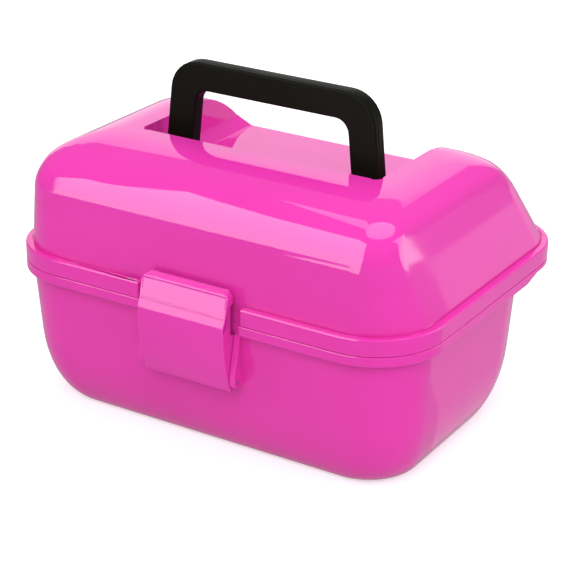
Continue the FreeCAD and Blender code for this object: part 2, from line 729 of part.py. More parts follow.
def tray_cup(z_low, z_high, inset):
    """Tray form with its lower edge bevelled, moved in by an inset."""
    bevel = TRAY_FOOT_BEVEL - inset
    sections = [tray_plan(z_low, inset + bevel), tray_plan(z_low + bevel, inset), tray_plan(z_high, inset)]
    return Part.makeLoft(sections, True, True)


def divider_grooves():
    """Pairs of small ribs on the long walls and the rail that hold the loose dividers."""
    front_y, back_y = tray_wall_y(TRAY_FLOOR_Z)
    rail_half = TRAY_WALL / 2
    top = TRAY_TOP_Z - DIVIDER_DROP
    y_spans = [
        (TRAY_FRONT_Y, front_y + GROOVE_RIB),
        (TRAY_RAIL_Y - rail_half - GROOVE_RIB, TRAY_RAIL_Y + rail_half + GROOVE_RIB),
        (back_y - GROOVE_RIB, TRAY_BACK_Y),
    ]
    offset = DIVIDER_THICK / 2 + DIVIDER_GAP
    ribs = []
    for x in GROOVE_X:
        for side in (-1, 1):
            span = sided(side, offset, offset + GROOVE_RIB)
            for y_span in y_spans:
                ribs.append(block(x + span[0], x + span[1], *y_span, TRAY_BOTTOM_Z, top))
    return ribs


def tray():
    walls = tray_cup(TRAY_BOTTOM_Z, TRAY_TOP_Z, 0.0)
    lip = tray_loft(TRAY_TOP_Z - TRAY_LIP_HIGH, TRAY_TOP_Z, -TRAY_LIP)
    inside = tray_cup(TRAY_FLOOR_Z, TRAY_TOP_Z + PAST, TRAY_WALL)
    mid_wall = tray_cup(TRAY_FLOOR_Z - TRAY_FLOOR / 2, TRAY_TOP_Z, TRAY_WALL / 2)
    rail_y = (TRAY_RAIL_Y - TRAY_WALL / 2, TRAY_RAIL_Y + TRAY_WALL / 2)
    rail = block(-TRAY_HALF, TRAY_HALF, *rail_y, TRAY_BOTTOM_Z, TRAY_TOP_Z - DIVIDER_DROP)
    inner_walls = [wall.common(mid_wall) for wall in [rail] + divider_grooves()]
    body = walls.fuse(lip).cut(inside).fuse(inner_walls)
    bosses = []
    holes = []
    root_x = TRAY_HALF - TRAY_SLOPE * TRAY_HIGH - TRAY_WALL
    for side in (-1, 1):
        span = sided(side, root_x, BOSS_FACE_X)
        bosses.append(rod(LID_BOSS_R, span, LID_PIVOT))
        bosses.append(rod(PIVOT_BOSS_R, span, TRAY_PIVOT))
        hole_span = sided(side, root_x - PAST, BOSS_FACE_X + PAST)
        holes.append(rod(RIVET_R + OPEN_PIVOT_GAP, hole_span, LID_PIVOT))
        holes.append(rod(RIVET_R + SEAT_GAP, hole_span, TRAY_PIVOT))
    return body.fuse(bosses).cut(holes).removeSplitter()


def divider(x, wall_side):
    """Loose divider between a long wall of the tray and the rail, with a thumb cut-out."""
    top = TRAY_TOP_Z - DIVIDER_DROP
    rail_y = TRAY_RAIL_Y + wall_side * (TRAY_WALL / 2 + DIVIDER_GAP)
    wall_index = 0 if wall_side < 0 else 1
    bevel = TRAY_FOOT_BEVEL - TRAY_WALL + DIVIDER_GAP
    low_y = tray_wall_y(TRAY_FLOOR_Z + bevel)[wall_index] - wall_side * DIVIDER_GAP
    high_y = tray_wall_y(top)[wall_index] - wall_side * DIVIDER_GAP
    outline = rounded_polygon(
        [
            (low_y - wall_side * bevel, TRAY_FLOOR_Z),
            (low_y, TRAY_FLOOR_Z + bevel),
            (high_y, top),
            (rail_y, top),
            (rail_y, TRAY_FLOOR_Z),
        ],
        [0, 0, DIVIDER_CORNER, DIVIDER_CORNER, 0],
        in_side_view,
    )
    plate = along_x(outline, x - DIVIDER_THICK / 2, x + DIVIDER_THICK / 2)
    thumb_centre = ((rail_y + high_y) / 2, top + DIVIDER_THUMB_R / 2)
    return plate.cut(rod(DIVIDER_THUMB_R, (x - DIVIDER_THICK, x + DIVIDER_THICK), thumb_centre))


def stadium(start, end, half_wide, span):
    """Bar with round ends between two side-view points, over a span of X."""
    run = vec(end[0] - start[0], end[1] - start[1], 0)
    run.normalize()
    across = vec(-run.y, run.x, 0) * half_wide
    corners = [
        (start[0] + across.x, start[1] + across.y),
        (end[0] + across.x, end[1] + across.y),
        (end[0] - across.x, end[1] - across.y),
        (start[0] - across.x, start[1] - across.y),
    ]
    bar = along_x(sharp_polygon(corners, in_side_view), *span)
    return joined([bar, rod(half_wide, span, start), rod(half_wide, span, end)])


def swing_arm(side):
    """Stamped arm from the base pivot to the front pivot of the tray."""
    span = sided(side, ARM_IN_X, ARM_OUT_X)
    bar = stadium(BASE_PIVOT, TRAY_PIVOT, ARM_HALF, span)
    share = ARM_HALF * 2 / CRANK_LONG
    ends = []
    for part in (share, 1 - share):
        ends.append(tuple(a + (b - a) * part for a, b in zip(BASE_PIVOT, TRAY_PIVOT)))
    slot = stadium(ends[0], ends[1], ARM_SLOT_HALF, span)
    holes = [rod(RIVET_R + RUN_GAP, span, BASE_PIVOT), rod(RIVET_R + RUN_GAP, span, TRAY_PIVOT)]
    return bar.cut([slot] + holes)


def base_rivet(side):
    """Rivet that carries an arm on its boss in the base."""
    head_face = ARM_IN_X - RIVET_HEAD_GAP
    head = rod(RIVET_HEAD_R, sided(side, head_face - RIVET_HEAD, head_face), BASE_PIVOT)
    end = ARM_OUT_X + ARM_SIDE_GAP + RIVET_SEAT - SHORT_OF
    return head.fuse(rod(RIVET_R, sided(side, head_face, end), BASE_PIVOT))


def tray_rivet(side):
    """Rivet that joins an arm to the tray."""
    head_face = ARM_OUT_X + RIVET_HEAD_GAP
    head = rod(RIVET_HEAD_R, sided(side, head_face, head_face + RIVET_HEAD), TRAY_PIVOT)
    end = TRAY_HALF - TRAY_SLOPE * TRAY_HIGH - TRAY_WALL
    return head.fuse(rod(RIVET_R, sided(side, end, head_face), TRAY_PIVOT))


def lid_rivet(side):
    """Rivet that joins the rear of the tray to its boss in the lid."""
    inner_face = TRAY_HALF - TRAY_SLOPE * (TRAY_TOP_Z - LID_PIVOT[1] + LID_BOSS_R) - TRAY_WALL - SHORT_OF
    inner_face = min(inner_face, TRAY_HALF - TRAY_SLOPE * TRAY_HIGH - TRAY_WALL - SHORT_OF)
    head = rod(RIVET_HEAD_R, sided(side, inner_face - RIVET_HEAD, inner_face), LID_PIVOT)
    end = ARM_OUT_X + RIVET_SEAT - SHORT_OF
    return head.fuse(rod(RIVET_R, sided(side, inner_face, end), LID_PIVOT))


def build():
    """Every node of the box by name."""
    nodes = {
        "base_shell": base_shell(),
        "lid_shell": lid_shell(),
        "handle": handle(),
        "latch_plate": latch_plate(),
        "latch_pin": latch_pin(),
        "tray": tray(),
        "front_divider_left": divider(GROOVE_X[1], -1),
        "front_divider_right": divider(GROOVE_X[-2], -1),
        "back_divider_left": divider(GROOVE_X[0], 1),
        "back_divider_middle": divider(GROOVE_X[GROOVE_COUNT // 2], 1),
        "back_divider_right": divider(GROOVE_X[-1], 1),
    }
    for name, side in (("left", -1), ("right", 1)):
        nodes["hinge_pin_" + name] = hinge_pin(side)
        nodes["handle_pin_" + name] = handle_pin(side)
        nodes["swing_arm_" + name] = swing_arm(side)
        nodes["base_rivet_" + name] = base_rivet(side)
        nodes["tray_rivet_" + name] = tray_rivet(side)
        nodes["lid_rivet_" + name] = lid_rivet(side)
    return nodes


os.makedirs("parts", exist_ok=True)
for node, shape in build().items():
    shape.exportStep("parts/" + node + ".step")
    print(node, "solids", len(shape.Solids), "valid", shape.isValid(), "volume", round(shape.Volume, 1))
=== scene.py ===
"""Looks of a moulded tackle box: two glossy shells, a drop latch, a carry handle and a cantilever tray."""

import json
import logging
import math
from contextlib import contextmanager
from dataclasses import dataclass
from enum import Enum
from functools import cached_property
from typing import Callable, Iterator, Mapping, Sequence

import bpy
from mathutils import Matrix, Vector

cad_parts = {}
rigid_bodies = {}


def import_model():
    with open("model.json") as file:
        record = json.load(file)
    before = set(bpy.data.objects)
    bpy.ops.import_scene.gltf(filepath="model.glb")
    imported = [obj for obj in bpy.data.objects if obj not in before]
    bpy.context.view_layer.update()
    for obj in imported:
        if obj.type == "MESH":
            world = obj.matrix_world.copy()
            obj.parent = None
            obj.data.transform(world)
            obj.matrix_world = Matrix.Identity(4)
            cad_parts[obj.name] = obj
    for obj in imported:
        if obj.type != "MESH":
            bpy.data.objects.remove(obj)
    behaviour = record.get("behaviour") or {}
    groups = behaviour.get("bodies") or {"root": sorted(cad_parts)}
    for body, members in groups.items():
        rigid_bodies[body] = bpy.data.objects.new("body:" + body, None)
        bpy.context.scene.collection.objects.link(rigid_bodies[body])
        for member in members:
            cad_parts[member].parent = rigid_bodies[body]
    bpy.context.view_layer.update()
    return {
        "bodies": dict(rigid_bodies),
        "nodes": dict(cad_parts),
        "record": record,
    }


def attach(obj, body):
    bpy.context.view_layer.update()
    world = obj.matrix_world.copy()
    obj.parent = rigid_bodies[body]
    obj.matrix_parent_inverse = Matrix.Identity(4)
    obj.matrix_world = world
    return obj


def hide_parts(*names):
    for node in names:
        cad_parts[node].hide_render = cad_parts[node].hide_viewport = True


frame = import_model()

LOG = logging.getLogger("tackle_box")
MM = 0.001
WHITE = (1.0, 1.0, 1.0, 1.0)

# Strips in each rounded corner of a plan outline
CORNER_STEPS = 14
# How far a tool reaches past what it cuts, in mm
PAST = 1.0
# How far a point may lie from a face that it counts as being on, in mm
NEAR = 0.1
# Smallest step that keeps two faces from lying in one plane, in mm
NICK = 0.02
# Points closer than this are one point, in mm
WELD = 0.002
# Edges that bend less than this many degrees are shaded smoothly
SMOOTH_BELOW = 34.0
# Weight of large faces in the shading
FACE_WEIGHT = 80
# Samples of the pattern that finds edges, and how alike two normals are off an edge and on it
EDGE_SAMPLES = 4
OFF_EDGE = 0.995
ON_EDGE = 0.9
# Blender's numbers of the two colour sockets of a mix node
MIX_COLOURS = (6, 7)
# Sides of a studio panel that is a rectangle
RECTANGLE = 4

Point2 = tuple[float, float]
Point3 = tuple[float, float, float]
Span = tuple[float, float]


class Cut(Enum):
    """How one solid changes another."""

    ADD = "UNION"
    TAKE = "DIFFERENCE"
    KEEP = "INTERSECT"


class Side(Enum):
    """Left and right of someone who faces the latch."""

    LEFT = -1
    RIGHT = 1

    def span(self, near: float, far: float) -> Span:
        """Span of X, lowest first, for two distances from the middle plane."""
        low, high = sorted((self.value * near, self.value * far))
        return low, high


class Pick(Enum):
    """What an edit acts on."""

    POINTS = "VERT"
    EDGES = "EDGE"
    FACES = "FACE"


# Edit helpers


def only(piece: bpy.types.Object) -> bpy.types.Object:
    """Select one piece alone and make it active.

    Args:
        piece: The piece to work on.

    Returns:
        The same piece.
    """
    bpy.ops.object.select_all(action="DESELECT")
    piece.select_set(True)
    bpy.context.view_layer.objects.active = piece
    return piece


@contextmanager
def editing(piece: bpy.types.Object, pick: Pick = Pick.POINTS) -> Iterator[None]:
    """Open a piece in edit mode and close it again.

    Args:
        piece: The piece to edit.
        pick: The kind of element that is picked.
    """
    only(piece)
    bpy.ops.object.mode_set(mode="EDIT")
    bpy.ops.mesh.select_mode(type=pick.value)
    yield
    bpy.ops.object.mode_set(mode="OBJECT")


def pick_none(piece: bpy.types.Object) -> bpy.types.Mesh:
    """Clear the selection of a piece.

    Args:
        piece: The piece.

    Returns:
        Its mesh.
    """
    mesh = piece.data
    for elements in (mesh.vertices, mesh.edges, mesh.polygons):
        for element in elements:
            element.select = False
    return mesh


def pick_points(piece: bpy.types.Object, test: Callable[[Vector], bool]) -> None:
    """Select the points of a mesh that pass a test of their place.

    Args:
        piece: The piece whose points are selected.
        test: Says of a point's place whether it is wanted.
    """
    for vertex in pick_none(piece).vertices:
        vertex.select = test(vertex.co)


def pick_faces(piece: bpy.types.Object, test: Callable[[Vector, Vector], bool]) -> None:
    """Select the faces of a mesh that pass a test of their place and direction.

    Args:
        piece: The piece whose faces are selected.
        test: Says of a face's middle and normal whether it is wanted.
    """
    for polygon in pick_none(piece).polygons:
        polygon.select = test(polygon.center, polygon.normal)


def pick_rings(piece: bpy.types.Object, count: int, rings: Sequence[int]) -> None:
    """Select whole outlines of a skin by their order in the mesh.

    Args:
        piece: The skin.
        count: Points in each outline.
        rings: The outlines that are selected.
    """
    mesh = pick_none(piece)
    for vertex in mesh.vertices:
        vertex.select = vertex.index // count in rings
    for edge in mesh.edges:
        first, second = (index // count for index in edge.vertices)
        edge.select = first == second and first in rings


def merged(pieces: Sequence[bpy.types.Object], name: str) -> bpy.types.Object:
    """Join several pieces into one object without changing their shapes.

    Args:
        pieces: The pieces, the first of which takes in the rest.
        name: Name of the joined piece.

    Returns:
        The joined piece.
    """
    only(pieces[0])
    for piece in pieces[1:]:
        piece.select_set(True)
    if len(pieces) > 1:
        bpy.ops.object.join()
    pieces[0].name = name
    pieces[0].data.name = name
    return pieces[0]


def cut(piece: bpy.types.Object, tool: bpy.types.Object, how: Cut) -> bpy.types.Object:
    """Change a solid by another one, which is used up.

    Args:
        piece: The solid that is kept.
        tool: The solid that adds to it, takes from it or bounds it.
        how: What the tool does.

    Returns:
        The changed solid.
    """
    only(piece)
    step = piece.modifiers.new("cut", "BOOLEAN")
    step.operation = how.value
    step.solver = "EXACT"
    step.object = tool
    bpy.ops.object.modifier_apply(modifier=step.name)
    bpy.data.objects.remove(tool)
    return piece


def outward(piece: bpy.types.Object) -> bpy.types.Object:
    """Merge doubled points and turn every face of a closed piece outwards.

    Args:
        piece: The piece.

    Returns:
        The same piece.
    """
    with editing(piece):
        bpy.ops.mesh.select_all(action="SELECT")
        bpy.ops.mesh.remove_doubles(threshold=WELD)
        bpy.ops.mesh.normals_make_consistent(inside=False)
    return piece


def round_edges(
    piece: bpy.types.Object, wanted: Callable[[Vector], bool], width: float, steps: int = 3
) -> None:
    """Round those sharp edges of a piece whose middles pass a test.

    Args:
        piece: The piece to change.
        wanted: Says of an edge's middle whether the edge is rounded.
        width: Width of the rounding.
        steps: Strips across the rounding.
    """
    with editing(piece, Pick.EDGES):
        bpy.ops.mesh.select_all(action="DESELECT")
        bpy.ops.mesh.edges_select_sharp(sharpness=math.radians(SMOOTH_BELOW))
    points = piece.data.vertices
    for edge in piece.data.edges:
        if edge.select:
            first, second = edge.vertices
            edge.select = wanted((points[first].co + points[second].co) / 2)
    with editing(piece, Pick.EDGES):
        bpy.ops.mesh.bevel(
            offset=width, segments=steps, affect="EDGES", clamp_overlap=False, miter_outer="SHARP"
        )


def finished(
    piece: bpy.types.Object, body: str, material: bpy.types.Material
) -> bpy.types.Object:
    """Shade a piece smoothly, bring it from millimetres to metres, paint it and put it on its body.

    Args:
        piece: The piece, modelled in millimetres.
        body: Name of the moving body that carries it.
        material: Its finish.

    Returns:
        The finished piece.
    """
    outward(piece)
    only(piece)
    piece.scale = (MM, MM, MM)
    bpy.ops.object.transform_apply(location=False, rotation=False, scale=True)
    bpy.ops.object.shade_smooth_by_angle(angle=math.radians(SMOOTH_BELOW))
    step = piece.modifiers.new("shading", "WEIGHTED_NORMAL")
    step.keep_sharp = True
    step.weight = FACE_WEIGHT
    bpy.ops.object.modifier_apply(modifier=step.name)
    piece.data.materials.clear()
    piece.data.materials.append(material)
    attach(piece, body)
    return piece


# Solids that the pieces are made of


@dataclass(frozen=True)
class Plan:
    """Rounded plan outline at one height.

    Args:
        half_x: Half of the width.
        front: Y of the front edge.
        back: Y of the back edge.
        front_round: Radius of the two front corners.
        back_round: Radius of the two back corners.
        z: Height of the outline.
    """

    half_x: float
    front: float
    back: float
    front_round: float
    back_round: float
    z: float

    def ring(self) -> bpy.types.Object:
        """Model the outline as one closed wire.

        Returns:
            A wire whose points come in the same order for every plan.
        """
        middle = (self.front + self.back) / 2
        half_y = (self.back - self.front) / 2
        bpy.ops.mesh.primitive_plane_add(size=1.0, location=(0.0, middle, self.z))
        wire = bpy.context.active_object
        wire.scale = (2 * self.half_x, self.back - self.front, 1.0)
        bpy.ops.object.transform_apply(location=True, rotation=False, scale=True)
        for radius, sign in ((self.front_round, -1), (self.back_round, 1)):
            pick_points(wire, lambda co, sign=sign: sign * (co.y - middle) > half_y - NEAR)
            with editing(wire):
                bpy.ops.mesh.bevel(
                    offset=radius, segments=CORNER_STEPS, affect="VERTICES", clamp_overlap=False
                )
        with editing(wire, Pick.FACES):
            bpy.ops.mesh.select_all(action="SELECT")
            bpy.ops.mesh.delete(type="ONLY_FACE")
        return wire


def lofted(plans: Sequence[Plan], name: str, close: bool = False) -> bpy.types.Object:
    """Skin a run of plan outlines, from the first to the last.

    Args:
        plans: The outlines in order.
        name: Name of the new piece.
        close: Join the last outline to the first one, in place of a flat cap on each.

    Returns:
        A closed solid.
    """
    wires = [plan.ring() for plan in plans]
    count = len(wires[0].data.vertices)
    skin = merged(wires, name)
    last = len(plans) - 1
    pairs = [(index, index + 1) for index in range(last)]
    if close:
        pairs.append((0, last))
    for pair in pairs:
        pick_rings(skin, count, pair)
        with editing(skin, Pick.EDGES):
            bpy.ops.mesh.bridge_edge_loops()
    for end in () if close else (0, last):
        pick_rings(skin, count, (end,))
        with editing(skin, Pick.EDGES):
            bpy.ops.mesh.edge_face_add()
    return outward(skin)


def brick(low: Point3, high: Point3, name: str = "brick") -> bpy.types.Object:
    """Plain box between two corners, as a start for a cut or a rib.

    Args:
        low: Lowest corner.
        high: Highest corner.
        name: Name of the new piece.

    Returns:
        The box.
    """
    centre = [(a + b) / 2 for a, b in zip(low, high)]
    bpy.ops.mesh.primitive_cube_add(size=1.0, location=centre)
    box = bpy.context.active_object
    box.scale = [b - a for a, b in zip(low, high)]
    bpy.ops.object.transform_apply(location=True, rotation=False, scale=True)
    box.name = name
    return box


def rod(radius: float, span: Span, centre: Point2, name: str = "rod", steps: int = 32) -> bpy.types.Object:
    """Round bar along X.

    Args:
        radius: Radius of the bar.
        span: Lowest and highest X.
        centre: Y and Z of its axis.
        name: Name of the new piece.
        steps: Sides of the bar.

    Returns:
        The bar.
    """
    low, high = min(span), max(span)
    bpy.ops.mesh.primitive_cylinder_add(
        vertices=steps,
        radius=radius,
        depth=high - low,
        location=((low + high) / 2, *centre),
        rotation=(0.0, math.pi / 2, 0.0),
    )
    bar = bpy.context.active_object
    bpy.ops.object.transform_apply(location=True, rotation=True, scale=False)
    bar.name = name
    return bar


def outlined(outline: Sequence[Point3], name: str) -> bpy.types.Object:
    """Draw a closed outline point by point and fill it.

    Args:
        outline: Corner points in order.
        name: Name of the new piece.

    Returns:
        A flat face.
    """
    bpy.ops.mesh.primitive_plane_add(size=1.0)
    face = bpy.context.active_object
    pick_points(face, lambda co: co.x > 0 or co.y > 0)
    with editing(face):
        bpy.ops.mesh.delete(type="VERT")
    shift = Vector(outline[0]) - face.data.vertices[0].co
    with editing(face):
        bpy.ops.mesh.select_all(action="SELECT")
        bpy.ops.transform.translate(value=shift)
        for here, there in zip(outline, outline[1:]):
            step = {"value": Vector(there) - Vector(here)}
            bpy.ops.mesh.extrude_region_move(TRANSFORM_OT_translate=step)
        bpy.ops.mesh.select_all(action="SELECT")
        bpy.ops.mesh.edge_face_add()
    face.name = name
    return face


def drawn(outline: Sequence[Point3], sweep: Point3, name: str) -> bpy.types.Object:
    """Draw a closed outline and extrude it.

    Args:
        outline: Corner points in order.
        sweep: Move of the extrusion.
        name: Name of the new piece.

    Returns:
        A closed prism.
    """
    prism = outlined(outline, name)
    with editing(prism):
        bpy.ops.mesh.select_all(action="SELECT")
        bpy.ops.mesh.extrude_region_move(TRANSFORM_OT_translate={"value": Vector(sweep)})
    return outward(prism)


def rounded(corners: Sequence[Point2], radii: Sequence[float], steps: int = 6) -> list[Point2]:
    """Points of a closed outline whose corners are rounded.

    Args:
        corners: Corner points in order.
        radii: Radius of each corner, 0 for a sharp one.
        steps: Strips in each rounded corner.

    Returns:
        Points of the rounded outline in order.
    """
    points: list[Point2] = []
    for index, (corner, radius) in enumerate(zip(corners, radii)):
        here = Vector(corner)
        if radius <= 0:
            points.append((here.x, here.y))
            continue
        before = (Vector(corners[index - 1]) - here).normalized()
        after = (Vector(corners[(index + 1) % len(corners)]) - here).normalized()
        half_angle = before.angle(after) / 2
        centre = here + (before + after).normalized() * (radius / math.sin(half_angle))
        start = here + before * (radius / math.tan(half_angle)) - centre
        end = here + after * (radius / math.tan(half_angle)) - centre
        turn = start.angle_signed(end)
        for step in range(steps + 1):
            spoke = start.copy()
            spoke.rotate(Matrix.Rotation(-turn * step / steps, 2))
            points.append((centre.x + spoke.x, centre.y + spoke.y))
    return points


def side_view(points: Sequence[Point2], x: float) -> list[Point3]:
    """Place side-view points, pairs of Y and Z, on a plane of constant X."""
    return [(x, y, z) for y, z in points]


def front_view(points: Sequence[Point2], y: float) -> list[Point3]:
    """Place front-view points, pairs of X and Z, on a plane of constant Y."""
    return [(x, y, z) for x, z in points]


def arc_through(start: Point2, middle: Point2, end: Point2, steps: int = 12) -> list[Point2]:
    """Points of a circular arc through three points, both ends included.

    Args:
        start: First end.
        middle: A point on the arc.
        end: Last end.
        steps: Strips along the arc.

    Returns:
        Points of the arc in order.
    """
    first, second, third = Vector(start), Vector(middle), Vector(end)
    chord, other = second - first, third - first
    twice = 2 * (chord.x * other.y - chord.y * other.x)
    across = (other.y * chord.length_squared - chord.y * other.length_squared) / twice
    along = (chord.x * other.length_squared - other.x * chord.length_squared) / twice
    centre = first + Vector((across, along))
    turn = (first - centre).angle_signed(third - centre)
    points = []
    for step in range(steps + 1):
        spoke = first - centre
        spoke.rotate(Matrix.Rotation(-turn * step / steps, 2))
        points.append((centre.x + spoke.x, centre.y + spoke.y))
    return points


def between(table: Sequence[Point2], place: float) -> float:
    """Read a table of (place, value) pairs at a place between them.

    Args:
        table: The pairs in order of place.
        place: Where to read it.

    Returns:
        The value there, or the nearest end's value outside the table.
    """
    for (low, first), (high, last) in zip(table, table[1:]):
        if place <= high:
            return first + (last - first) * max(0.0, place - low) / (high - low)
    return table[-1][1]


# Finishes


class Sheen(Enum):
    """Surface characters of the object's finishes, as (least, most) roughness."""

    GLOSSY = (0.02, 0.06)
    SATIN = (0.3, 0.42)
    SOFT = (0.38, 0.5)
    PLATED = (0.2, 0.34)


class Nodes:
    """Short hand for the node tree of a material or a world."""

    def __init__(self, owner: bpy.types.Material | bpy.types.World) -> None:
        """Open the node tree.

        Args:
            owner: The material or world.
        """
        self.owner = owner
        self.owner.use_nodes = True
        self.tree = owner.node_tree

    @property
    def surface(self) -> bpy.types.Node:
        """The material's principled surface."""
        return self.tree.nodes["Principled BSDF"]

    @cached_property
    def place(self) -> bpy.types.NodeSocket:
        """Place of the shaded point in object space."""
        return self.add("ShaderNodeTexCoord").outputs["Object"]

    def feed(self, node: bpy.types.Node, inputs: Mapping[str | int, object]) -> None:
        """Give inputs of a node their values.

        Args:
            node: The node.
            inputs: For each input, its value or the output that it is linked to.
        """
        for key, value in inputs.items():
            if isinstance(value, bpy.types.NodeSocket):
                self.tree.links.new(value, node.inputs[key])
            else:
                node.inputs[key].default_value = value

    def add(
        self, kind: str, inputs: Mapping[str | int, object] | None = None, **settings: object
    ) -> bpy.types.Node:
        """Add one node, set its properties and feed its inputs.

        Args:
            kind: Blender's name for the node.
            inputs: For each input, its value or the output that it is linked to.
            settings: Properties of the node.

        Returns:
            The node.
        """
        node = self.tree.nodes.new(kind)
        for name, value in settings.items():
            setattr(node, name, value)
        self.feed(node, inputs or {})
        return node

    def noise(
        self, scale: float, detail: float = 3.0, stretch: Point3 = (1.0, 1.0, 1.0)
    ) -> bpy.types.NodeSocket:
        """Cloudy pattern from 0 to 1 in object space.

        Args:
            scale: Cells for each metre.
            detail: Finer layers on top.
            stretch: Scale along each axis, for a pattern that runs one way.

        Returns:
            The pattern's output.
        """
        place = self.add("ShaderNodeMapping", {"Scale": stretch, "Vector": self.place}).outputs["Vector"]
        cloud = self.add("ShaderNodeTexNoise", {"Scale": scale, "Detail": detail, "Vector": place})
        return cloud.outputs["Fac"]

    def spread(self, pattern: bpy.types.NodeSocket, low: Span, high: Span) -> bpy.types.NodeSocket:
        """Stretch a span of a pattern over another span.

        Args:
            pattern: The pattern's output.
            low: Where the pattern starts, and the value there.
            high: Where the pattern ends, and the value there.

        Returns:
            The stretched output.
        """
        ends = {"From Min": low[0], "To Min": low[1], "From Max": high[0], "To Max": high[1]}
        return self.add("ShaderNodeMapRange", {"Value": pattern, **ends}).outputs["Result"]

    def blend(self, share: bpy.types.NodeSocket, first: object, second: object) -> bpy.types.NodeSocket:
        """Mix two colours by a pattern.

        Args:
            share: Share of the second colour.
            first: A colour or an output.
            second: A colour or an output.

        Returns:
            The mixed colour's output.
        """
        colours = [
            value if isinstance(value, bpy.types.NodeSocket) else (*value, 1.0) for value in (first, second)
        ]
        inputs = {"Factor": share, **dict(zip(MIX_COLOURS, colours))}
        return self.add("ShaderNodeMix", inputs, data_type="RGBA").outputs[2]

    def edges(self, radius: float) -> bpy.types.NodeSocket:
        """Pattern that rises towards 1 near sharp edges.

        Args:
            radius: Reach of the pattern from an edge, in metres.

        Returns:
            The pattern's output.
        """
        soft = self.add("ShaderNodeBevel", {"Radius": radius}, samples=EDGE_SAMPLES).outputs["Normal"]
        true = self.add("ShaderNodeNewGeometry").outputs["Normal"]
        likeness = self.add("ShaderNodeVectorMath", {0: soft, 1: true}, operation="DOT_PRODUCT")
        return self.spread(likeness.outputs["Value"], (OFF_EDGE, 0.0), (ON_EDGE, 1.0))

    def bump(self, layers: Sequence[tuple[bpy.types.NodeSocket, float]]) -> None:
        """Raise the surface by patterns.

        Args:
            layers: Pairs of a pattern and its height in metres.
        """
        normal: dict[str, bpy.types.NodeSocket] = {}
        for pattern, height in layers:
            inputs = {"Strength": 1.0, "Distance": height, "Height": pattern, **normal}
            normal = {"Normal": self.add("ShaderNodeBump", inputs).outputs["Normal"]}
        self.feed(self.surface, normal)


@dataclass(frozen=True)
class MouldedPlastic:
    """Injection-moulded plastic with faint flow clouds, rubbed edges and a fine skin.

    Args:
        name: Name of the finish.
        colour: Main colour.
        cloud: Colour of the faint flow clouds.
        rubbed: Colour of the rubbed edges.
        sheen: Least and most roughness.
        skin: Height of the fine skin, in metres.
        grain: Cells of the skin for each metre.
        index: Refractive index.
        gloss: Strength of the reflections seen straight on, 0.5 for plain plastic.
    """

    name: str
    colour: Point3
    cloud: Point3
    rubbed: Point3
    sheen: Sheen
    skin: float
    grain: float
    index: float = 1.5
    gloss: float = 0.5

    def made(self) -> bpy.types.Material:
        """Build the material.

        Returns:
            The material.
        """
        nodes = Nodes(bpy.data.materials.new(self.name))
        cloudy = nodes.noise(scale=9.0, detail=4.0, stretch=(1.0, 1.0, 1.6))
        clouds = nodes.spread(cloudy, low=(0.35, 0.0), high=(0.7, 1.0))
        flowing = nodes.noise(scale=45.0, detail=3.0, stretch=(1.0, 1.0, 0.25))
        flow = nodes.spread(flowing, low=(0.55, 0.0), high=(0.8, 0.35))
        rubbing = nodes.spread(nodes.edges(radius=0.0011), low=(0.0, 0.0), high=(1.0, 0.3))
        body = nodes.blend(clouds, self.colour, self.cloud)
        body = nodes.blend(flow, body, self.cloud)
        body = nodes.blend(rubbing, body, self.rubbed)
        least, most = self.sheen.value
        smear = nodes.spread(nodes.noise(scale=28.0, detail=5.0), low=(0.4, least), high=(0.75, most))
        fine = nodes.noise(scale=240.0, detail=2.0, stretch=(1.0, 0.05, 1.0))
        scratches = nodes.spread(fine, low=(0.68, 0.0), high=(0.75, 1.0))
        grain = nodes.noise(scale=self.grain, detail=2.0)
        waves = nodes.noise(scale=70.0, detail=2.0)
        wave_high, scratch_high = self.skin * 3, self.skin * 0.25
        nodes.bump(((grain, self.skin), (waves, wave_high), (scratches, scratch_high)))
        values = {"Base Color": body, "Roughness": smear, "IOR": self.index, "Specular IOR Level": self.gloss}
        nodes.feed(nodes.surface, values)
        return nodes.owner


@dataclass(frozen=True)
class PlatedSteel:
    """Zinc-plated steel with a rolled grain and dull spots.

    Args:
        name: Name of the finish.
        colour: Main colour.
        dull: Colour of the dull spots.
        rubbed: Colour of the rubbed edges.
        grain_high: Height of the rolled grain, in metres.
        wave_high: Height of the faint waves, in metres.
    """

    name: str = "zinc steel"
    colour: Point3 = (0.62, 0.62, 0.6)
    dull: Point3 = (0.4, 0.41, 0.42)
    rubbed: Point3 = (0.8, 0.8, 0.78)
    grain_high: float = 0.00001
    wave_high: float = 0.00002

    def made(self) -> bpy.types.Material:
        """Build the material.

        Returns:
            The material.
        """
        nodes = Nodes(bpy.data.materials.new(self.name))
        spots = nodes.spread(nodes.noise(scale=260.0, detail=4.0), low=(0.45, 0.0), high=(0.7, 1.0))
        rubbing = nodes.spread(nodes.edges(radius=0.0004), low=(0.0, 0.0), high=(1.0, 0.5))
        body = nodes.blend(spots, self.colour, self.dull)
        body = nodes.blend(rubbing, body, self.rubbed)
        grain = nodes.noise(scale=1400.0, detail=2.0, stretch=(1.0, 0.08, 1.0))
        least, most = Sheen.PLATED.value
        sheen = nodes.spread(grain, low=(0.3, least), high=(0.7, most))
        nodes.bump(((grain, self.grain_high), (nodes.noise(scale=300.0), self.wave_high)))
        nodes.feed(nodes.surface, {"Base Color": body, "Metallic": 1.0, "Roughness": sheen})
        return nodes.owner


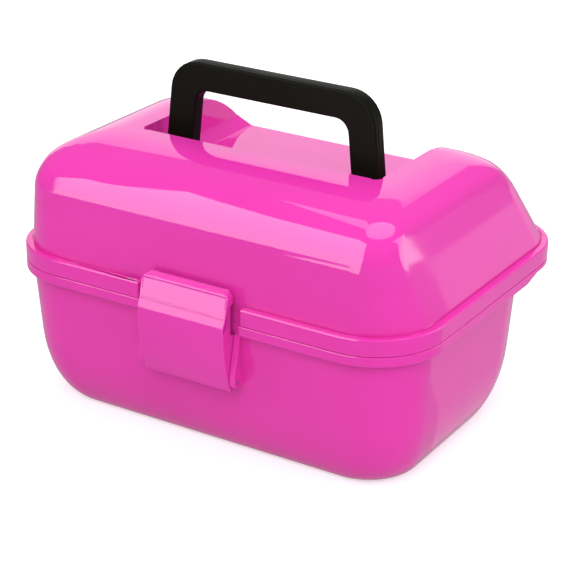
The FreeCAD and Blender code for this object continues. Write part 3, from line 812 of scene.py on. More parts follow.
@dataclass(frozen=True)
class Finishes:
    """The finishes of the whole object, with the record's slot names."""

    shell: bpy.types.Material
    latch: bpy.types.Material
    handle: bpy.types.Material
    tray: bpy.types.Material
    steel: bpy.types.Material

    @classmethod
    def made(cls) -> "Finishes":
        """Build every finish once."""
        pink = MouldedPlastic(
            name="pink shell",
            colour=(0.80, 0.038, 0.42),
            cloud=(0.85, 0.044, 0.45),
            rubbed=(0.88, 0.12, 0.55),
            sheen=Sheen.GLOSSY,
            skin=0.000003,
            grain=420.0,
        )
        panel = MouldedPlastic(
            name="pink latch",
            colour=(0.80, 0.04, 0.43),
            cloud=(0.85, 0.046, 0.46),
            rubbed=(0.9, 0.14, 0.58),
            sheen=Sheen.GLOSSY,
            skin=0.000003,
            grain=500.0,
        )
        black = MouldedPlastic(
            name="black handle",
            colour=(0.0055, 0.0055, 0.0035),
            cloud=(0.0075, 0.0075, 0.005),
            rubbed=(0.03, 0.03, 0.024),
            sheen=Sheen.SATIN,
            skin=0.00002,
            grain=900.0,
            index=1.4,
            gloss=0.05,
        )
        white = MouldedPlastic(
            name="white tray",
            colour=(0.76, 0.75, 0.72),
            cloud=(0.8, 0.79, 0.77),
            rubbed=(0.86, 0.86, 0.85),
            sheen=Sheen.SOFT,
            skin=0.00002,
            grain=700.0,
        )
        return cls(pink.made(), panel.made(), black.made(), white.made(), PlatedSteel().made())

    def by_slot(self) -> dict[str, bpy.types.Material]:
        """Each finish under the record's name for it."""
        return {
            "pink_shell": self.shell,
            "pink_latch": self.latch,
            "black_handle": self.handle,
            "white_tray": self.tray,
            "zinc_steel": self.steel,
        }


# Pieces


@dataclass(frozen=True)
class BoxForm:
    """Sizes in millimetres that the base and the lid share."""

    half_x: float = 140.0
    half_y: float = 108.8
    rim_corner: float = 44.0
    overhang: float = 5.0
    wall: float = 2.6
    rim_wall: float = 2.2
    rim_plate: float = 2.4
    base_rim_z: float = 87.0
    split_z: float = 93.0
    split_gap: float = 0.3
    ledge_z: float = 103.4
    top_z: float = 168.0
    notch_half: float = 34.7
    notch_web: float = 2.0
    lip: float = 0.6
    knuckle_r: float = 3.6
    knuckle_pocket: float = 4.1
    hinge_y: float = 109.0
    hinge_x: float = 68.0
    lid_knuckle: float = 20.0
    base_knuckle: float = 12.0
    knuckle_gap: float = 0.4
    knuckle_arm: float = 5.5
    hinge_pin_r: float = 1.52

    @property
    def wall_x(self) -> float:
        """Half width over the walls at the rim."""
        return self.half_x - self.overhang

    @property
    def wall_y(self) -> float:
        """Half depth over the walls at the rim."""
        return self.half_y - self.overhang

    @property
    def hinge_z(self) -> float:
        """Height of the hinge axis."""
        return self.split_z + self.split_gap / 2

    def rim(self, z: float, inset: float = 0.0) -> Plan:
        """Outline of the rim at one height, moved in by an inset."""
        corner = self.rim_corner - inset
        return Plan(self.half_x - inset, inset - self.half_y, self.half_y - inset, corner, corner, z)

    def rim_lip(self, z: float, up: int, radius: float, steps: int = 3) -> list[Plan]:
        """Rounded outer edge of a rim.

        Args:
            z: Height of the flat side that the edge rounds into.
            up: 1 for an edge that rounds upwards to that side, -1 for downwards.
            radius: Radius of the edge.
            steps: Strips across the edge.

        Returns:
            Outlines from the upright side of the rim to the flat side.
        """
        plans = []
        for step in range(steps + 1):
            angle = math.pi / 2 * step / steps
            plans.append(self.rim(z - up * radius * (1 - math.sin(angle)), radius * (1 - math.cos(angle))))
        return plans

    def lid_knuckles(self) -> list[Span]:
        """Spans of X of the lid's two hinge knuckles."""
        half = self.lid_knuckle / 2
        return [(side.value * self.hinge_x - half, side.value * self.hinge_x + half) for side in Side]

    def base_knuckles(self) -> list[Span]:
        """Spans of X of the base's four hinge knuckles."""
        near = self.lid_knuckle / 2 + self.knuckle_gap
        spans = []
        for side in Side:
            centre = side.value * self.hinge_x
            spans.append((centre - near - self.base_knuckle, centre - near))
            spans.append((centre + near, centre + near + self.base_knuckle))
        return spans

    def add_knuckles(
        self, shell: bpy.types.Object, spans: Sequence[Span], z_low: float, z_high: float
    ) -> None:
        """Join hinge knuckles and their arms to a shell and bore them.

        Args:
            shell: The shell that carries them.
            spans: Their spans of X.
            z_low: Underside of their arms.
            z_high: Top of their arms.
        """
        for span in spans:
            arm = brick((span[0], self.hinge_y - self.knuckle_arm, z_low), (span[1], self.hinge_y, z_high))
            cut(shell, arm, Cut.ADD)
            cut(shell, rod(self.knuckle_r, span, (self.hinge_y, self.hinge_z)), Cut.ADD)
            bore = rod(self.hinge_pin_r, (span[0] - PAST, span[1] + PAST), (self.hinge_y, self.hinge_z))
            cut(shell, bore, Cut.TAKE)

    def cut_pockets(self, shell: bpy.types.Object, spans: Sequence[Span]) -> None:
        """Cut the round clearances for the knuckles of the other shell.

        Args:
            shell: The shell that gives way.
            spans: Spans of X of the other shell's knuckles.
        """
        for span in spans:
            wide = (span[0] - self.knuckle_gap, span[1] + self.knuckle_gap)
            cut(shell, rod(self.knuckle_pocket, wide, (self.hinge_y, self.hinge_z)), Cut.TAKE)

    def cut_notch(self, shell: bpy.types.Object, z_low: float, z_high: float) -> None:
        """Cut the gap in a rim that the latch closes into, and close the hollow rim beside it.

        Args:
            shell: The shell whose rim is cut.
            z_low: Lowest height of the gap's end walls.
            z_high: Highest height of them.
        """
        for side in Side:
            low, high = side.span(self.notch_half - PAST, self.notch_half + self.notch_web)
            front, back = self.rim_wall / 2 - self.half_y, self.wall / 2 - self.wall_y
            cut(shell, brick((low, front, z_low), (high, back, z_high)), Cut.ADD)
        gap = brick(
            (-self.notch_half, -self.half_y - PAST, z_low - 2 * PAST),
            (self.notch_half, -self.wall_y - NICK, z_high + 4 * PAST),
        )
        cut(shell, gap, Cut.TAKE)


@dataclass(frozen=True)
class BaseTub:
    """Lower shell: a tub with a rounded foot, an overhanging rim and a deep shelf at the back."""

    form: BoxForm
    end_slope: float = 0.06
    front_slope: float = 0.11
    back_slope: float = 0.11
    back_shelf: float = 17.0
    front_corner: float = 37.7
    back_corner: float = 58.0
    corner_taper: float = 7.0
    foot_in: float = 15.6
    foot_up: float = 44.0
    foot_steps: int = 10
    floor: float = 2.8
    groove_in: float = 11.0
    groove_wide: float = 3.0
    groove_deep: float = 0.9
    tongue_thick: float = 1.8
    tongue_high: float = 5.0
    tongue_gap: float = 0.5
    tongue_back: float = 52.0
    tongue_round: float = 0.54
    runout_front: float = 64.0
    runout_back: float = 49.0
    gusset_thick: float = 2.4
    gusset_drop: float = 13.0
    ear_near: float = 30.0
    ear_thick: float = 3.4
    ear_round: float = 3.4
    ear_below_split: float = 7.0
    ear_behind_rim: float = 3.0
    pin_y: float = -108.0
    pin_z: float = 57.2
    pin_r: float = 1.62
    boss_r: float = 5.5
    boss_x: float = 126.6
    boss_at: Point2 = (43.0, 75.55)
    rivet_r: float = 2.02
    rivet_deep: float = 4.0
    boss_wall: Span = (60.0, 90.0)

    def plan(self, z: float, inset: float = 0.0) -> Plan:
        """Outline of the walls.

        Args:
            z: Height of the outline.
            inset: How far it is moved in.

        Returns:
            The outline.
        """
        below = self.form.base_rim_z - z
        rounding = 0.0
        if z < self.foot_up:
            height = 1 - z / self.foot_up
            rounding = self.foot_in * (1 - math.sqrt(1 - height * height))
        taper = self.corner_taper * below / self.form.base_rim_z + inset
        back = self.form.wall_y - self.back_shelf
        return Plan(
            self.form.wall_x - self.end_slope * below - rounding - inset,
            self.front_slope * below + rounding + inset - self.form.wall_y,
            back - self.back_slope * below - rounding - inset,
            self.front_corner - taper,
            self.back_corner - taper,
            z,
        )

    def foot_heights(self, low: float) -> list[float]:
        """Heights of the rounded foot's outlines, closer together near the floor."""
        angles = [math.pi / 2 * step / self.foot_steps for step in range(self.foot_steps + 1)]
        return [low + (self.foot_up - low) * (1 - math.cos(angle)) for angle in angles]

    def skin(self) -> bpy.types.Object:
        """Model the shell from the inside floor over the rim to the underside.

        Returns:
            A closed shell.
        """
        form = self.form
        inside = [self.plan(z, form.wall) for z in self.foot_heights(self.floor)]
        inside.append(self.plan(form.split_z, form.wall))
        upper_lip = list(reversed(form.rim_lip(form.split_z, 1, form.lip)))
        lower_lip = form.rim_lip(form.base_rim_z, -1, form.lip)
        plate_z = form.split_z - form.rim_plate
        under = [form.rim(z, form.rim_wall) for z in (form.base_rim_z, plate_z)] + [self.plan(plate_z)]
        outside = [self.plan(z) for z in reversed(self.foot_heights(0.0))]
        near, far = self.groove_in, self.groove_in + self.groove_wide
        profile = ((0.0, near), (self.groove_deep, near), (self.groove_deep, far), (0.0, far))
        groove = [self.plan(z, inset) for z, inset in profile]
        return lofted(inside + upper_lip + lower_lip + under + outside + groove, "base_tub")

    def add_tongue(self, tub: bpy.types.Object) -> None:
        """Stand the sealing tongue on the front and both ends of the rim.

        Args:
            tub: The shell.
        """
        form = self.form
        outer = form.overhang - self.tongue_gap - self.tongue_thick
        inner = outer + self.tongue_thick
        low, high = form.split_z - form.rim_plate / 2, form.split_z + self.tongue_high
        tongue = lofted(
            [form.rim(low, outer), form.rim(high, outer), form.rim(high, inner), form.rim(low, inner)],
            "tongue",
            close=True,
        )
        back = brick((-form.half_x, self.tongue_back, low - PAST), (form.half_x, form.half_y, high + PAST))
        cut(tongue, back, Cut.TAKE)
        half = form.notch_half + form.notch_web + self.tongue_gap
        cut(tongue, brick((-half, -form.half_y, low - PAST), (half, 0.0, high + PAST)), Cut.TAKE)
        round_edges(tongue, lambda co: co.z > high - NEAR, self.tongue_round, 2)
        cut(tub, tongue, Cut.ADD)

    def cut_skirt(self, tub: bpy.types.Object) -> None:
        """Let the turned-down edge run out before the back corners.

        Args:
            tub: The shell.
        """
        form = self.form
        low, high = form.base_rim_z - PAST, form.split_z - form.rim_plate + NICK
        band = lofted(
            [
                form.rim(low, -PAST),
                form.rim(high, -PAST),
                form.rim(high, form.rim_wall + 2 * NICK),
                form.rim(low, form.rim_wall + 2 * NICK),
            ],
            "band",
            close=True,
        )
        front, back = form.half_y - self.runout_front, form.half_y - self.runout_back
        outline = [
            (front, low - PAST),
            (front, form.base_rim_z),
            (back, high),
            (back, high + PAST),
            (form.half_y + 2 * PAST, high + PAST),
            (form.half_y + 2 * PAST, low - PAST),
        ]
        reach = form.half_x + 2 * PAST
        cut(band, drawn(side_view(outline, -reach), (2 * reach, 0.0, 0.0), "runout"), Cut.KEEP)
        cut(tub, band, Cut.TAKE)

    def add_gussets(self, tub: bpy.types.Object) -> None:
        """Add the ribs that carry the rear shelf.

        Args:
            tub: The shell.
        """
        form = self.form
        back = form.wall_y - self.back_shelf - form.wall / 2
        plate_z = form.split_z - form.rim_plate
        outline = [
            (back, plate_z - self.gusset_drop),
            (back, plate_z + form.rim_plate / 2),
            (form.half_y - form.rim_wall, plate_z + form.rim_plate / 2),
            (form.half_y - form.rim_wall, plate_z - form.rim_plate),
        ]
        for middle in (-form.hinge_x, 0.0, form.hinge_x):
            low = middle - self.gusset_thick / 2
            cut(tub, drawn(side_view(outline, low), (self.gusset_thick, 0.0, 0.0), "gusset"), Cut.ADD)

    def add_ears(self, tub: bpy.types.Object) -> None:
        """Add the two ears that carry the latch pin, and bore them.

        Args:
            tub: The shell.
        """
        form = self.form
        front = self.pin_y - self.ear_round
        top = form.split_z - self.ear_below_split
        mid_wall = form.wall / 2 - form.wall_y
        foot = self.pin_z - self.ear_round
        root = mid_wall + self.front_slope * (form.base_rim_z - foot)
        outline = rounded(
            [
                (root, foot),
                (mid_wall, top),
                (self.ear_behind_rim - form.half_y, top),
                (front, self.pin_z + self.ear_round),
                (front, foot),
            ],
            [0.0, 0.0, self.ear_round / 2, self.ear_round, self.ear_round],
        )
        for side in Side:
            low, high = side.span(self.ear_near, self.ear_near + self.ear_thick)
            ear = drawn(side_view(outline, low), (high - low, 0.0, 0.0), "ear")
            cut(tub, ear, Cut.ADD)
        reach = self.ear_near + self.ear_thick + PAST
        cut(tub, rod(self.pin_r, (-reach, reach), (self.pin_y, self.pin_z)), Cut.TAKE)

    def add_bosses(self, tub: bpy.types.Object) -> None:
        """Add the bosses inside the end walls that carry the swing arms.

        Args:
            tub: The shell.
        """
        for side in Side:
            low, high = side.span(self.boss_x, self.form.wall_x)
            boss = rod(self.boss_r, (low, high), self.boss_at)
            mid_wall = [self.plan(z, self.form.wall / 2) for z in self.boss_wall]
            cut(boss, lofted(mid_wall, "mid_wall"), Cut.KEEP)
            cut(tub, boss, Cut.ADD)
            low, high = side.span(self.boss_x - PAST, self.boss_x + self.rivet_deep)
            cut(tub, rod(self.rivet_r, (low, high), self.boss_at), Cut.TAKE)

    def built(self, finishes: Finishes) -> bpy.types.Object:
        """Model and dress the tub.

        Args:
            finishes: The object's finishes.

        Returns:
            The finished tub.
        """
        form = self.form
        tub = self.skin()
        self.cut_skirt(tub)
        self.add_gussets(tub)
        form.cut_notch(tub, form.base_rim_z, form.split_z - PAST / 2)
        self.add_ears(tub)
        self.add_tongue(tub)
        self.add_bosses(tub)
        form.cut_pockets(tub, form.lid_knuckles())
        form.add_knuckles(tub, form.base_knuckles(), form.hinge_z - form.knuckle_r, form.split_z)
        finished(tub, "base", finishes.shell)
        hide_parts("base_shell")
        return tub


@dataclass(frozen=True)
class LidDome:
    """Upper shell: sloping walls, broad shoulders and a recess for the handle that is open to the back."""

    form: BoxForm
    back_slope: float = 0.77
    end_slope: float = 0.28
    front_shoulder: Span = (59.0, 26.0)
    back_shoulder: Span = (28.5, 28.8)
    end_shoulder: Span = (27.0, 12.4)
    front_corner: Span = (38.0, 13.0)
    back_corner: Span = (37.0, 20.0)
    shoulder_steps: int = 16
    edge_round: float = 1.1
    groove_wide: float = 0.9
    groove_deep: float = 0.7
    slot: Span = (-46.5, -38.0)
    slot_wide: float = 2.8
    slot_deep: float = 3.4
    recess_half: float = 82.0
    recess_front: float = -38.0
    recess_floor: float = 139.0
    recess_corner: float = 5.0
    recess_steps: int = 6
    recess_fillet: float = 1.4
    facet_in: float = 6.0
    facet_up: float = 7.0
    well: float = 33.0
    lip: float = 1.0
    catch_half: float = 21.6
    catch_out: float = 3.2
    catch_up: float = 3.2
    catch_thick: float = 3.0
    boss_r: float = 4.2
    boss_x: float = 124.3
    boss_at: Point2 = (36.0, 97.6)
    rivet_r: float = 2.02
    rivet_end: float = 130.3
    handle_at: Point2 = (-18.0, 144.8)
    handle_pin_r: float = 2.52

    def run(self, z: float, shoulder: Span, inset: float) -> float:
        """Inward run of an elliptical shoulder.

        Args:
            z: Height.
            shoulder: The shoulder's run inwards and its height.
            inset: How far the surface is moved in.

        Returns:
            How far the shoulder has run in at that height.
        """
        across, up = shoulder[0] - inset, shoulder[1] - inset
        height = (z - (self.form.top_z - shoulder[1])) / up
        if height <= 0:
            return 0.0
        return across * (1 - math.sqrt(max(0.0, 1 - height * height)))

    def plan(self, z: float, inset: float = 0.0) -> Plan:
        """Outline of the dome.

        Args:
            z: Height of the outline.
            inset: How far it is moved in.

        Returns:
            The outline.
        """
        form = self.form
        above = max(0.0, z - form.ledge_z)
        share = above / (form.top_z - form.ledge_z)
        end_inset = inset * math.hypot(1, self.end_slope)
        back_inset = inset * math.hypot(1, self.back_slope)
        return Plan(
            form.wall_x - self.end_slope * above - self.run(z, self.end_shoulder, inset) - end_inset,
            self.run(z, self.front_shoulder, inset) + inset - form.wall_y,
            form.wall_y - self.back_slope * above - self.run(z, self.back_shoulder, inset) - back_inset,
            self.front_corner[0] + (self.front_corner[1] - self.front_corner[0]) * share - inset,
            self.back_corner[0] + (self.back_corner[1] - self.back_corner[0]) * share - inset,
            z,
        )

    def dome(self, low: float, inset: float = 0.0) -> list[Plan]:
        """Outlines of the dome from one height to its top.

        Args:
            low: Height of the first outline.
            inset: How far they are moved in.

        Returns:
            The outlines, lowest first.
        """
        form = self.form
        bend = form.top_z - self.back_shoulder[1]
        top = form.top_z - inset
        heights = [low, form.ledge_z, (form.ledge_z + bend) / 2]
        for step in range(self.shoulder_steps + 1):
            heights.append(bend + (top - bend) * math.sin(math.pi / 2 * step / self.shoulder_steps))
        return [self.plan(z, inset) for z in heights]

    def skin(self) -> bpy.types.Object:
        """Model the outside from the split, round the hollow rim and up to the top.

        Returns:
            A closed solid.
        """
        form = self.form
        low = form.split_z + form.split_gap
        under = form.ledge_z - form.rim_plate
        hollow = [self.plan(low), self.plan(under)] + [form.rim(z, form.rim_wall) for z in (under, low)]
        lower_lip = list(reversed(form.rim_lip(low, -1, form.lip)))
        upper_lip = form.rim_lip(form.ledge_z, 1, self.edge_round)
        sunk = form.ledge_z - self.groove_deep
        groove = [self.plan(z, -self.groove_wide) for z in (form.ledge_z, sunk)] + [self.plan(sunk)]
        outside = self.dome(form.ledge_z)[1:]
        return lofted(hollow + lower_lip + upper_lip + groove + outside, "lid_dome")

    def hollow(self) -> bpy.types.Object:
        """Model the space inside the lid, round the walls of the recess.

        Returns:
            A closed solid.
        """
        form = self.form
        space = lofted(self.dome(form.split_z - PAST, form.wall), "hollow")
        return cut(space, self.recess(form.wall), Cut.TAKE)

    def recess(self, grow: float) -> bpy.types.Object:
        """Space of the handle recess, grown by a wall thickness for the inside of the lid.

        Args:
            grow: How much larger than the recess.

        Returns:
            A closed solid.
        """
        half, front, floor = self.recess_half + grow, self.recess_front - grow, self.recess_floor - grow
        back = self.form.half_y
        space = brick((-half, front, floor), (half, back, self.form.top_z + 4 * PAST))
        round_edges(
            space,
            lambda co: co.y < front + NEAR and abs(co.x) > half - NEAR,
            self.recess_corner + grow,
            self.recess_steps,
        )
        for side in Side:
            outline = [
                (side.value * (half - self.facet_in), floor),
                (side.value * half, floor + self.facet_up),
                (side.value * (half + PAST), floor + self.facet_up),
                (side.value * (half + PAST), floor - PAST),
                (side.value * (half - self.facet_in), floor - PAST),
            ]
            start = front + self.well + grow
            cut(space, drawn(front_view(outline, start), (0.0, back + PAST - start, 0.0), "facet"), Cut.TAKE)
        round_edges(space, lambda co: co.z < floor + self.facet_up + NEAR, self.recess_fillet)
        return space

    def on_recess_lip(self, co: Vector) -> bool:
        """Say whether an edge of the lid lies where the recess breaks through the dome.

        Args:
            co: Middle of the edge.

        Returns:
            Whether it does.
        """
        half, front = self.recess_half, self.recess_front
        clear_of_floor = co.z > self.recess_floor + self.facet_up + PAST
        if not clear_of_floor or abs(co.x) > half + NEAR or co.y < front - NEAR:
            return False
        on_end = abs(abs(co.x) - half) < NEAR
        on_front = abs(co.y - front) < NEAR
        centre = Vector((half - self.recess_corner, front + self.recess_corner))
        spoke = Vector((abs(co.x), co.y)) - centre
        on_corner = spoke.x > 0 > spoke.y and abs(spoke.length - self.recess_corner) < 2 * NEAR
        return on_end or on_front or on_corner

    def cut_slot(self, lid: bpy.types.Object) -> None:
        """Cut the small slot in the ledge, left of the latch.

        Args:
            lid: The shell.
        """
        form = self.form
        middle = -(form.half_y + form.wall_y - PAST) / 2
        slot = brick(
            (self.slot[0], middle - self.slot_wide / 2, form.ledge_z - self.slot_deep),
            (self.slot[1], middle + self.slot_wide / 2, form.ledge_z + PAST),
        )
        cut(lid, slot, Cut.TAKE)

    def add_catch(self, lid: bpy.types.Object) -> None:
        """Add the ledge that the latch's hook grips.

        Args:
            lid: The shell.
        """
        form = self.form
        low = form.split_z + self.catch_up
        catch = brick(
            (-self.catch_half, -form.wall_y - self.catch_out, low),
            (self.catch_half, form.wall / 2 - form.wall_y, low + self.catch_thick),
        )
        cut(lid, catch, Cut.ADD)

    def add_pivots(self, lid: bpy.types.Object) -> None:
        """Add the bosses for the tray's rivets, and bore them and the holes for the handle's pins.

        Args:
            lid: The shell.
        """
        form = self.form
        for side in Side:
            boss = side.span(self.boss_x, form.wall_x - form.wall / 2)
            cut(lid, rod(self.boss_r, boss, self.boss_at), Cut.ADD)
            rivet = side.span(self.boss_x - PAST, self.rivet_end)
            cut(lid, rod(self.rivet_r, rivet, self.boss_at), Cut.TAKE)
            pin = side.span(self.recess_half - PAST, self.recess_half + form.wall + PAST)
            cut(lid, rod(self.handle_pin_r, pin, self.handle_at), Cut.TAKE)

    def built(self, finishes: Finishes) -> bpy.types.Object:
        """Model and dress the lid.

        Args:
            finishes: The object's finishes.

        Returns:
            The finished lid.
        """
        form = self.form
        low = form.split_z + form.split_gap
        lid = self.skin()
        cut(lid, self.recess(0.0), Cut.TAKE)
        cut(lid, self.hollow(), Cut.TAKE)
        form.cut_notch(lid, low, form.ledge_z - form.rim_plate / 2)
        self.cut_slot(lid)
        self.add_catch(lid)
        self.add_pivots(lid)
        form.cut_pockets(lid, form.base_knuckles())
        form.add_knuckles(lid, form.lid_knuckles(), low, form.hinge_z + form.knuckle_r)
        round_edges(lid, self.on_recess_lip, self.lip)
        finished(lid, "lid", finishes.shell)
        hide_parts("lid_shell")
        return lid


@dataclass(frozen=True)
class CarryHandle:
    """Bail handle of flat section with a seam round its outside and a foot at each end."""

    plane_y: float = -18.0
    thick: float = 10.0
    pivot_z: float = 144.8
    top_z: float = 210.6
    foot_half: float = 75.4
    top_half: float = 68.6
    leg: float = 18.6
    bar: float = 17.2
    outer_round: float = 20.0
    inner_round: float = 9.0
    edge_round: float = 1.5
    edge_steps: int = 4
    corner_steps: int = 10
    foot_sides: int = 48
    seam_behind: float = 3.0
    seam_wide: float = 0.8
    seam_deep: float = 0.5
    boss_r: float = 4.7
    boss_end: float = 81.6
    pin_r: float = 2.56
    pin_deep: float = 9.0

    def outline(self, inset: float = 0.0) -> list[Point2]:
        """Front view of the bail.

        Args:
            inset: How far its outside is moved in.

        Returns:
            Points of the outline in order.
        """
        foot, top = self.foot_half - inset, self.top_half - inset
        inner_foot = self.foot_half - self.leg
        splay = self.foot_half - self.top_half
        reach = self.top_z - self.pivot_z
        inner_top = inner_foot - splay * (reach - self.bar) / reach
        high, inner_high = self.top_z - inset, self.top_z - self.bar
        outer = self.outer_round - inset
        return rounded(
            [
                (-foot, self.pivot_z),
                (-top, high),
                (top, high),
                (foot, self.pivot_z),
                (inner_foot, self.pivot_z),
                (inner_top, inner_high),
                (-inner_top, inner_high),
                (-inner_foot, self.pivot_z),
            ],
            [0.0, outer, outer, 0.0, 0.0, self.inner_round, self.inner_round, 0.0],
            self.corner_steps,
        )

    def seam(self) -> bpy.types.Object:
        """Narrow band round the outside of the bail, to be cut out of it."""
        start = self.plane_y - self.thick / 2 + self.seam_behind
        band = drawn(front_view(self.outline(-PAST), start), (0.0, self.seam_wide, 0.0), "seam")
        inside = front_view(self.outline(self.seam_deep), start - PAST)
        core = drawn(inside, (0.0, self.seam_wide + 2 * PAST, 0.0), "core")
        return cut(band, core, Cut.TAKE)

    def built(self, finishes: Finishes) -> bpy.types.Object:
        """Model and dress the handle.

        Args:
            finishes: The object's finishes.

        Returns:
            The finished handle.
        """
        front = self.plane_y - self.thick / 2
        bail = drawn(front_view(self.outline(), front), (0.0, self.thick, 0.0), "carry_handle")
        round_edges(bail, lambda co: co.z > self.pivot_z + PAST, self.edge_round, self.edge_steps)
        cut(bail, self.seam(), Cut.TAKE)
        centre = (self.plane_y, self.pivot_z)
        for side in Side:
            near = self.foot_half - self.leg
            foot = rod(self.thick / 2, side.span(near, self.foot_half), centre, steps=self.foot_sides)
            cut(bail, foot, Cut.ADD)
            cut(bail, rod(self.boss_r, side.span(near + PAST, self.boss_end), centre), Cut.ADD)
            hole = side.span(self.boss_end - self.pin_deep, self.boss_end + PAST)
            cut(bail, rod(self.pin_r, hole, centre), Cut.TAKE)
        finished(bail, "handle", finishes.handle)
        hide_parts("handle")
        return bail


@dataclass(frozen=True)
class DropLatch:
    """Bowed latch plate, hollow at the back, with a hook and a bore for its pin."""

    form: BoxForm
    half: float = 29.5
    wall: float = 2.6
    top: Point2 = (-2.4, 20.0)
    shoulder: Point2 = (3.2, 18.2)
    bend: Point2 = (6.8, 4.4)
    belly: Point2 = (8.3, 0.8)
    middle: Point2 = (7.1, -21.5)
    heel: Point2 = (0.8, -42.2)
    cheek: tuple[Point2, ...] = (
        (-1.0, -42.0),
        (-4.4, -39.0),
        (-4.4, -8.0),
        (0.5, -6.4),
        (0.5, 10.8),
        (-2.4, 12.6),
    )
    corner: float = 5.0
    bow_steps: int = 14
    facing: float = 0.8
    slab_half: float = 20.0
    border: float = 1.6
    sunk: float = 0.45
    score_up: float = 0.6
    score_wide: float = 0.55
    edge_round: float = 0.7
    pin_y: float = -108.0
    pin_z: float = 57.2
    pin_r: float = 1.66
    hook_half: float = 19.0
    hook_low: float = 99.55
    hook_high: float = 102.15
    hook_back: float = -104.8

    def place(self, offset: Point2) -> Point2:
        """Side-view place of an offset outwards from the rim face and up from the split."""
        return (-self.form.half_y - offset[0], self.form.split_z + offset[1])

    def face(self) -> list[Point2]:
        """Side view of the front face, from its top to its heel."""
        corners = [self.place(offset) for offset in (self.top, self.shoulder, self.bend)]
        bow = [self.place(offset) for offset in (self.belly, self.middle, self.heel)]
        return corners + arc_through(*bow, self.bow_steps)

    def front(self) -> bpy.types.Object:
        """Front outline with its two round upper corners, as a thick slab."""
        low, high = self.place(self.heel)[1] - PAST, self.place(self.top)[1]
        top = high + NEAR
        corners = [(-self.half, low), (-self.half, top), (self.half, top), (self.half, low)]
        outline = rounded(corners, [0.0, self.corner, self.corner, 0.0])
        start = -self.form.half_y - self.slab_half
        return drawn(front_view(outline, start), (0.0, 2 * self.slab_half, 0.0), "front")

    def hollow(self) -> bpy.types.Object:
        """Hollow behind the face."""
        behind = -self.form.wall_y
        shifted = [(y + self.wall, z - self.wall) for y, z in self.face()]
        outline = shifted + [(behind, shifted[-1][1]), (behind, shifted[0][1])]
        half = self.half - self.wall
        return drawn(side_view(outline, -half), (2 * half, 0.0, 0.0), "hollow")

    def sink_panel(self, plate: bpy.types.Object) -> None:
        """Sink the upper panel of the face inside a narrow border.

        Args:
            plate: The latch plate.
        """
        low, high = self.place(self.bend)[1], self.place(self.shoulder)[1]
        middle = (low + high) / 2
        pick_faces(plate, lambda co, normal: abs(co.z - middle) < PAST and normal.y < -self.facing)
        with editing(plate, Pick.FACES):
            bpy.ops.mesh.inset(thickness=self.border, depth=-self.sunk)

    def score_panel(self, plate: bpy.types.Object) -> None:
        """Score a fine line across the face under the sunk panel.

        Args:
            plate: The latch plate.
        """
        middle = self.place(self.bend)[1] + self.score_up
        drop = (self.bend[0] - self.shoulder[0]) / (self.shoulder[1] - self.bend[1])
        face = -self.form.half_y - self.bend[0] + drop * self.score_up
        half = self.half - self.border
        line = brick(
            (-half, face - 2 * PAST, middle - self.score_wide / 2),
            (half, face + self.sunk, middle + self.score_wide / 2),
        )
        cut(plate, line, Cut.TAKE)

    def built(self, finishes: Finishes) -> bpy.types.Object:
        """Model and dress the latch.

        Args:
            finishes: The object's finishes.

        Returns:
            The finished latch.
        """
        outline = self.face() + [self.place(offset) for offset in self.cheek]
        plate = drawn(side_view(outline, -self.half), (2 * self.half, 0.0, 0.0), "drop_latch")
        self.sink_panel(plate)
        self.score_panel(plate)
        cut(plate, self.front(), Cut.KEEP)
        outer = -self.form.half_y
        lowest = self.pin_z - 3 * PAST
        round_edges(plate, lambda co: co.y < outer + PAST and co.z > lowest, self.edge_round)
        cut(plate, self.hollow(), Cut.TAKE)
        hook_front = self.place(self.shoulder)[0]
        hook = brick(
            (-self.hook_half, hook_front, self.hook_low), (self.hook_half, self.hook_back, self.hook_high)
        )
        cut(plate, hook, Cut.ADD)
        cut(plate, rod(self.pin_r, (-self.half - PAST, self.half + PAST), (self.pin_y, self.pin_z)), Cut.TAKE)
        finished(plate, "latch", finishes.latch)
        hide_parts("latch_plate")
        return plate


@dataclass(frozen=True)
class KeptParts:
    """Pins, arms, rivets, tray and dividers that keep their own solids and get a finish."""

    def dressed(self, finishes: Finishes) -> None:
        """Paint each solid by the slot that the record gives it.

        Args:
            finishes: The object's finishes.
        """
        slots = {row["node"]: row["material_slot"] for row in frame["record"]["subparts"]}
        materials = finishes.by_slot()
        for name, node in frame["nodes"].items():
            for index in range(len(node.data.materials)):
                node.data.materials[index] = materials[slots[name]]


# Studio


def glowing(name: str, radiance: float) -> bpy.types.Material:
    """Make a material that gives the same light everywhere.

    Args:
        name: Name of the material.
        radiance: Its light, 0 for black.

    Returns:
        The material.
    """
    nodes = Nodes(bpy.data.materials.new(name))
    nodes.tree.nodes.remove(nodes.surface)
    light = nodes.add("ShaderNodeEmission", {"Strength": radiance})
    nodes.feed(nodes.tree.nodes["Material Output"], {"Surface": light.outputs["Emission"]})
    return nodes.owner


def in_gloss_only(panel: bpy.types.Object, name: str, radiance: float) -> None:
    """Name and light a studio panel and hide it from everything but reflections.

    Args:
        panel: The panel.
        name: Its name.
        radiance: Its light, 0 for black.
    """
    panel.name = name
    panel.data.materials.append(glowing(name, radiance))
    panel.visible_camera = False
    panel.visible_diffuse = False
    panel.visible_shadow = False
    panel.visible_transmission = False


